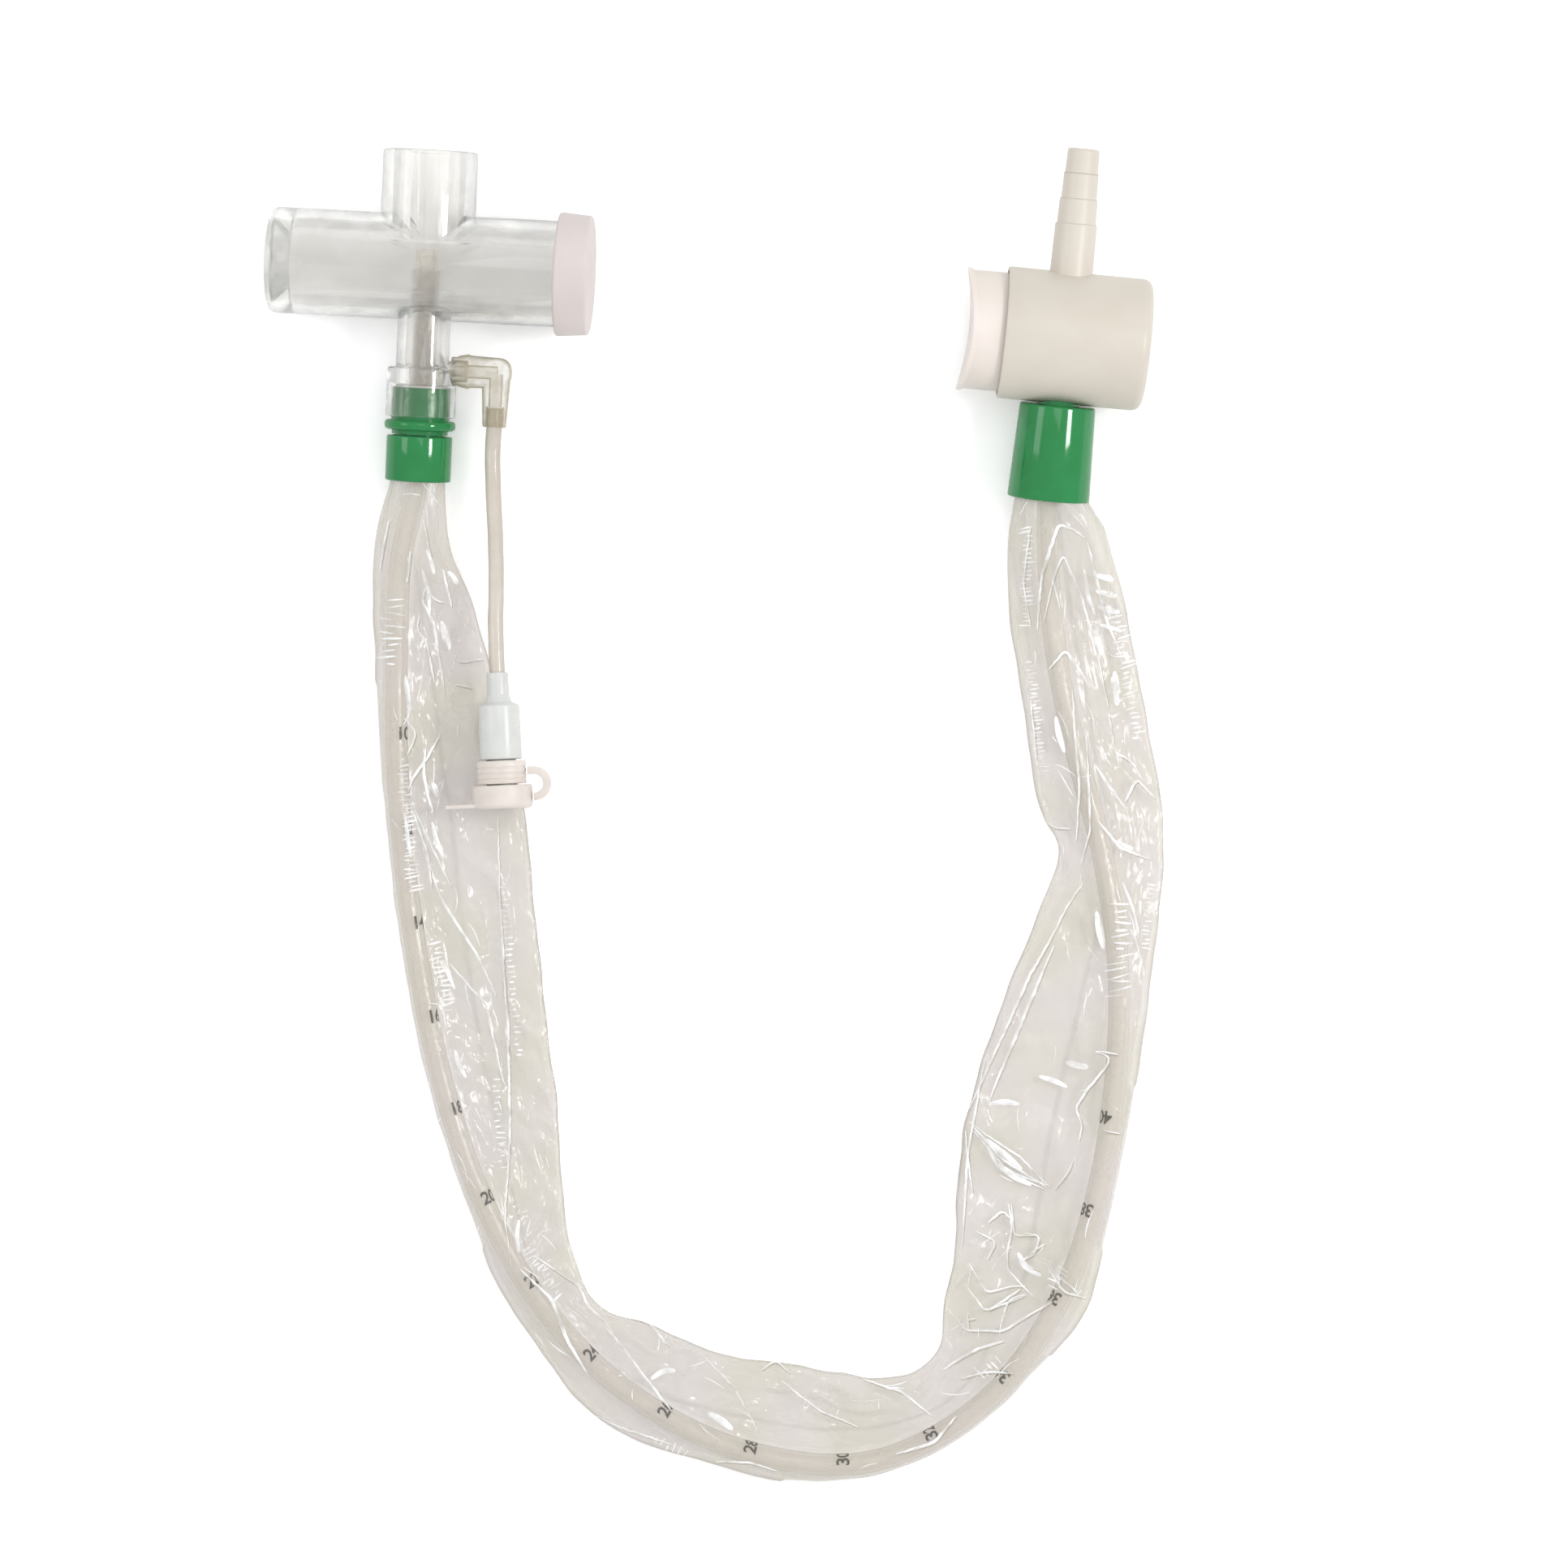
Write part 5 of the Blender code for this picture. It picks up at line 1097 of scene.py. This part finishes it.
def build_film():
    run, total = smooth_run(catheter_line(), FILM_SPACING)
    frames = offset_frames(run)
    step = total / (len(run) - 1)

    def clamped_loop(where, below, sideways, distance, radius):
        """A round loop inside a collar, below the middle of its own frame."""
        turn = where.to_3x3()
        return film_section(where @ Vector((0, -below, 0)), turn @ Vector((sideways, 0, 0)),
                            turn @ Vector((0, 0, 1)), 0.0, distance, radius, radius, total)

    rings = [clamped_loop(TEE, below, 1, 0.0, FRONT_FILM_RADIUS)
             for below in (FRONT_COLLAR_TOP + GAP, FRONT_COLLAR_END - 0.002)]
    for i, (place, (_, side, up)) in enumerate(zip(run, frames)):
        distance = step * i
        outside, inside = straight_between(FILM_SPREAD, distance)
        free = smoothstep(0.012, 0.03, distance) * smoothstep(0.012, 0.03, total - distance)
        outside += free * 0.0003 * noise.noise(Vector((distance * 150, 0, 5)))
        inside += free * 0.0004 * noise.noise(Vector((distance * 110, 0, 11)))
        settled = smoothstep(0.0, SETTLE_REACH, distance) * smoothstep(0.0, SETTLE_REACH, total - distance)
        rings.append(film_section(place, side, up, settled, distance, outside, inside, total))
    rings += [clamped_loop(VALVE, below, -1, total, REAR_FILM_RADIUS)
              for below in (REAR_COLLAR_END - 0.002, REAR_COLLAR_TOP + 0.0022)]
    count = len(rings[0])
    points = [spot for ring in rings for spot in ring]
    film = mesh_object("film_sleeve", points, tube_faces(len(rings), count))
    outward_faces(film)
    # Marks what lies on the catheter for the material, and unrolls the tube for its streaks
    close = film.data.attributes.new("on_catheter", "FLOAT", "POINT").data
    centres = [None, None, *run, None, None]
    for i, vert in enumerate(film.data.vertices):
        middle = centres[i // count]
        away = (vert.co.xy - middle.xy).length if middle else 0.0
        close[i].value = 1 - smoothstep(0.0022, 0.0032, away)
    unrolled = film.data.uv_layers.new(name="unrolled").data
    for face in film.data.polygons:
        for corner, vert in zip(face.loop_indices, face.vertices):
            turn = vert % count
            turn = count - turn if turn > TOP_POINTS + BOTTOM_POINTS // 2 else turn
            unrolled[corner].uv = (turn * 2 * FILM_WIDTH / count, (vert // count) * FILM_SPACING)
    film.data.shade_smooth()
    finish_piece(film, FILM, "base", "polyurethane_film", "sleeve")
    return film


film = build_film()


# Creases whose highlights are painted as raised white strips, drawn after the photograph; x and y in tenths
# of a millimetre
LONG_CREASE_HIGHLIGHTS = [
    [(-690, 631), (-716, 515)], [(-645, 565), (-657, 489)], [(-617, 631), (-601, 515)],
    [(-582, 529), (-563, 439)], [(-617, 489), (-627, 458), (-601, 408), (-594, 342), (-579, 255)],
    [(-615, 486), (-600, 458), (-579, 453)], [(-633, 428), (-638, 397), (-615, 363), (-601, 276)],
    [(-563, 347), (-549, 326), (-494, 335)], [(-563, 281), (-518, 271)],
    [(-666, 210), (-638, 174), (-660, 123)], [(-589, 174), (-615, 123), (-645, 82), (-657, 47)],
    [(-619, 147), (-624, 92), (-615, 42), (-601, 0)], [(-655, 37), (-615, -80), (-605, -161)],
    [(-650, 31), (-600, -80), (-563, -158)],
    [(-466, 0), (-461, -201), (-445, -444), (-440, -687), (-450, -860), (-433, -964)],
    [(788, -139), (749, -199), (718, -262), (670, -348), (538, -640)], [(725, -274), (581, -621)],
    [(538, -652), (576, -683), (651, -732), (718, -801)], [(564, -688), (607, -758), (713, -794)],
    [(722, -806), (756, -758), (765, -732)],
    [(774, -702), (784, -659), (769, -628), (793, -589), (836, -534), (840, -515), (805, -503)],
    [(805, -503), (862, -510)], [(867, -139), (893, -206), (905, -262)],
    [(534, -671), (541, -751), (550, -813)], [(824, -671), (867, -680)],
    [(632, -825), (638, -900), (694, -900)], [(623, -931), (625, -974), (682, -1035)],
    [(529, -999), (576, -1061), (670, -1023)], [(581, -1061), (656, -1011)],
    [(-579, -305), (-489, -409), (-457, -565)], [(-627, -62), (-584, -184), (-506, -305), (-468, -392)],
    [(665, 614), (655, 493), (672, 400)], [(672, 250), (682, 170), (686, 110)],
    [(685, 390), (693, 511), (713, 583), (724, 613), (757, 600), (785, 583)],
    [(696, 401), (718, 511), (735, 550), (779, 467), (812, 367), (840, 223)],
    [(707, 307), (744, 351), (779, 307), (801, 268)], [(785, 583), (812, 500), (838, 410), (872, 330)],
    [(840, 218), (851, 135), (890, 113), (917, 68)], [(806, 113), (834, 68), (884, 2)],
    [(685, 24), (718, -26), (762, -31)], [(790, 179), (799, -31), (779, -109)],
    [(760, 270), (765, 180), (776, 60), (770, -60)],
    [(541, -655), (610, -735), (712, -800)], [(548, -672), (625, -765), (706, -803)],
    [(627, -827), (634, -887), (620, -955)], [(580, -874), (613, -847), (634, -867)],
    [(654, -894), (694, -901), (681, -941), (647, -955), (694, -975)],
    [(539, -955), (580, -1022), (634, -1008), (667, -1008)], [(613, -1069), (627, -1035), (667, -1022)],
    [(701, -941), (728, -981), (762, -1008), (782, -1035)], [(667, -941), (708, -914)],
    [(553, -887), (600, -914), (580, -955)], [(539, -1062), (541, -1102)], [(533, -1082), (560, -1076)],
    [(812, -10), (864, -71), (933, -97)], [(873, 24), (899, 76), (942, 33)],
    [(578, -513), (552, -652), (538, -739), (527, -929)], [(-246, -1082), (-159, -1189), (-90, -1276)],
    [(-211, -1068), (-142, -1089), (-98, -1141)], [(-315, -964), (-272, -1051), (-237, -1085)],
    [(-419, -964), (-350, -1033), (-315, -1120), (-263, -1207)],
    [(-393, -938), (-333, -981), (-281, -1016)], [(-38, -1146), (40, -1224), (92, -1319)],
    [(92, -1189), (127, -1169), (162, -1198)], [(136, -1207), (222, -1276), (309, -1311)],
    [(309, -1207), (396, -1233), (465, -1285)], [(482, -1189), (552, -1146), (621, -1120)],
    [(517, -1207), (578, -1189), (638, -1189)], [(491, -1051), (534, -1103), (612, -1103), (725, -1033)],
    [(708, -964), (742, -1016), (795, -1033)], [(-281, -1276), (-194, -1311), (-90, -1345)],
    [(-3, -1380), (75, -1380), (136, -1401)], [(378, -1363), (465, -1337), (517, -1276)],
]
# Broad painted highlights: wide white strips where a whole facet of the film turns to the light
GLEAMS = [
    [(687, -558), (725, -569), (756, -584)], [(744, -529), (772, -534), (800, -541)],
    [(644, -931), (659, -964), (699, -987)], [(-607, -10), (-598, -54), (-579, -97)],
    [(-624, 527), (-613, 475), (-610, 423)], [(-662, 302), (-657, 258), (-653, 215)],
    [(-613, 568), (-606, 540), (-598, 508)], [(-573, 523), (-560, 507), (-548, 488)],
    [(-588, 419), (-578, 385), (-568, 349)], [(-608, 74), (-600, 54), (-593, 34)],
    [(-584, -305), (-572, -340), (-555, -378)], [(-142, -1207), (-111, -1189), (-81, -1189)],
    [(-20, -1273), (11, -1290), (40, -1314)], [(578, -621), (618, -614), (656, -621)],
    [(781, 527), (791, 475), (812, 423)], [(847, 302), (853, 267), (860, 229)],
    [(855, 4), (873, -7), (893, -14)], [(812, -201), (819, -244), (829, -291)],
    [(803, 512), (830, 508), (856, 500)], [(806, 479), (834, 474), (862, 466)],
    [(812, 446), (840, 440), (868, 431)], [(818, 408), (846, 400), (874, 391)],
    [(851, 312), (857, 274), (855, 235)], [(860, -60), (880, -68), (896, -76)],
    [(-558, -496), (-548, -534), (-530, -565)], [(-419, -860), (-426, -895), (-419, -938)],
    [(725, 215), (732, 172), (746, 128)], [(-662, 7), (-657, -45), (-648, -97)],
    [(575, -690), (620, -728), (660, -762)], [(600, -745), (640, -775), (680, -795)],
]
# Rows of short pleats across the film, drawn as raised strips in painted white highlight: start, end, and how
# far they reach sideways (mm), and their spacing
PLEAT_ROWS = [
    ((-690, 465), (-695, 315), 5.2, 1.33), ((-668, 110), (-640, -165), 3.4, 0.90),
    ((-600, -270), (-568, -420), 3.0, 1.01), ((658, 610), (662, 400), 2.8, 0.86),
    ((672, 330), (700, 90), 2.2, 0.82), ((858, 430), (905, 160), 4.0, 1.09),
    ((850, -310), (860, -390), 7.0, 1.17), ((862, -185), (868, -305), 4.6, 1.25),
    ((935, -145), (915, -290), 2.4, 0.94), ((-455, -150), (-420, -520), 2.0, 1.17),
    ((-405, -920), (-330, -1030), 3.0, 1.01), ((560, -1200), (610, -1160), 3.5, 1.09),
    ((715, -1010), (740, -960), 3.0, 0.94), ((-130, -1330), (-60, -1370), 3.0, 1.25),
    ((-472, -560), (-455, -760), 2.4, 1.25),
]
TENTH_MM = 0.0001
CREASE_STEP = 0.0005


def crease_strip(tree, line, width, rise, points, faces, shift=0.0):
    """A thin tapering ridge that follows the film under a line of (x, y) places, or beside it by shift."""
    if shift:
        line = [(x + shift * 0.6, y - shift * 0.8) for x, y in line]
    spots = []
    for x, y in line:
        hit = tree.ray_cast(Vector((x, y, 0.05)), Vector((0, 0, -1)))[0]
        if hit is not None:
            spots.append(hit)
    if len(spots) < 3:
        return
    start = len(points)
    last = len(spots) - 1
    for i, spot in enumerate(spots):
        along = spots[min(i + 1, last)] - spots[max(i - 1, 0)]
        across = Vector((-along.y, along.x, 0))
        if across.length < 1e-9:
            across = Vector((1, 0, 0))
        taper = math.sin(math.pi * (i + 0.4) / (last + 0.8)) ** 0.6
        half = across.normalized() * width / 2 * taper
        lift = Vector((0, 0, 0.00006))
        points += [spot - half + lift, spot + lift + Vector((0, 0, rise * taper)), spot + half + lift]
        if i:
            a, b = start + 3 * (i - 1), start + 3 * i
            faces += [(a, a + 1, b + 1, b), (a + 1, a + 2, b + 2, b + 1)]


def drawn_line(corners):
    """Nearly straight runs between (x, y) corners in tenths of a millimetre, with the corners eased."""
    corners = [Vector((x * TENTH_MM, y * TENTH_MM)) for x, y in corners]
    places = []
    for a, b in zip(corners, corners[1:]):
        steps = max(1, round((b - a).length / CREASE_STEP))
        places += [a.lerp(b, k / steps) for k in range(steps)]
    places.append(corners[-1])
    eased = []
    for i in range(len(places)):
        near = places[max(0, i - 2) : i + 3]
        middle = sum(near, Vector((0, 0))) / len(near)
        eased.append((middle.x, middle.y))
    return eased


def build_creases(film):
    """Painted highlights of every crease, gleam and pleat as raised white strips in one mesh, and painted
    shade beside the long creases in another.
    """
    shape = bmesh.new()
    shape.from_mesh(film.data)
    tree = BVHTree.FromBMesh(shape)
    shape.free()
    dice = random.Random(14)
    points, faces = [], []
    dark_points, dark_faces = [], []
    for corners in LONG_CREASE_HIGHLIGHTS:
        line = drawn_line(corners)
        wobble = dice.uniform(0.5, 1.0)
        line = [(x + 0.00015 * wobble * noise.noise(Vector((x * 900, y * 900, 1))),
                 y + 0.00015 * wobble * noise.noise(Vector((x * 900, y * 900, 5)))) for x, y in line]
        reach = len(line) * CREASE_STEP
        width = dice.uniform(0.00042, 0.00080) * min(1.0, 0.45 + reach / 0.030)
        # A raised strip of painted highlight on the crease, and a strip of painted shade beside it
        crease_strip(tree, line, width, 0.00018, points, faces)
        crease_strip(tree, line, 0.00042, 0.00003, dark_points, dark_faces, 0.00042)
    for corners in GLEAMS:
        line = drawn_line(corners)
        crease_strip(tree, line, dice.uniform(0.0009, 0.0016), 0.00020, points, faces)
    for (x0, y0), (x1, y1), reach, spacing in PLEAT_ROWS:
        start, end = Vector((x0, y0)) * TENTH_MM, Vector((x1, y1)) * TENTH_MM
        along = (end - start).normalized()
        across = Vector((-along.y, along.x))
        count = int((end - start).length / (spacing * 0.001))
        for i in range(count):
            place = start.lerp(end, (i + dice.uniform(0.35, 0.65)) / count)
            size = reach * 0.001 * dice.uniform(0.35, 1.0)
            slant = along * dice.uniform(-0.09, 0.09) * size
            shift = across * dice.uniform(-0.2, 0.2) * reach * 0.001
            a = place + shift - across * size / 2 - slant
            b = place + shift + across * size / 2 + slant
            steps = max(3, int(size / 0.0004))
            line = [tuple(a.lerp(b, k / steps)) for k in range(steps + 1)]
            crease_strip(tree, line, dice.uniform(0.00026, 0.00054), 0.00012, points, faces)
    # Small creases scattered over the rest, mostly along the tube, as raised strips in painted white
    # highlight
    run, total = smooth_run(catheter_line(), 0.004)
    frames = offset_frames(run)
    for _ in range(150):
        i = dice.randrange(len(run))
        outside, inside = between(FILM_SPREAD, total * i / (len(run) - 1))
        across = dice.uniform(-outside + 0.0006, inside - 0.0006)
        if -0.001 < across < 0.001 and dice.random() < 0.5:
            continue
        along, side, _ = frames[i]
        heading = dice.gauss(0.0, 0.35) + (math.pi / 2 if dice.random() < 0.15 else 0.0)
        centre = run[i] + side * across
        size = dice.uniform(0.0015, 0.0075) * (0.5 if heading > 1 else 1.0)
        steps = max(4, int(size / 0.0004))
        bend = dice.uniform(-0.7, 0.7)
        place = Vector((centre.x, centre.y))
        line = []
        for k in range(steps + 1):
            turn = heading + bend * (k / steps - 0.5)
            step = (along * math.cos(turn) + side * math.sin(turn)) * (size / steps)
            place = place + Vector((step.x, step.y))
            line.append((place.x, place.y))
        crease_strip(tree, line, dice.uniform(0.00014, 0.00030), 0.00010, points, faces)
    # Raised strips of painted highlight in one mesh, and strips of painted shade beside the long creases in
    # the other
    for name, spots, sides, finish in (
        ("film_crease_highlights", points, faces, CREASE_HIGHLIGHT),
        ("film_fold_shades", dark_points, dark_faces, FOLD_SHADE),
    ):
        strips = mesh_object(name, spots, sides)
        strips.data.shade_smooth()
        finish_piece(strips, finish, "base", "polyurethane_film")


build_creases(film)


# CAD pieces that show as they are
for node, finish in (
    ("check_disc", SILICONE), ("valve_spigot", GREEN), ("valve_plunger", ACETAL),
    ("seal_ring_front", RUBBER), ("seal_ring_middle", RUBBER), ("seal_ring_rear", RUBBER),
):
    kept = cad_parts[node]
    kept.data.materials.clear()
    kept.data.materials.append(finish)

tuple(hose_points[0])
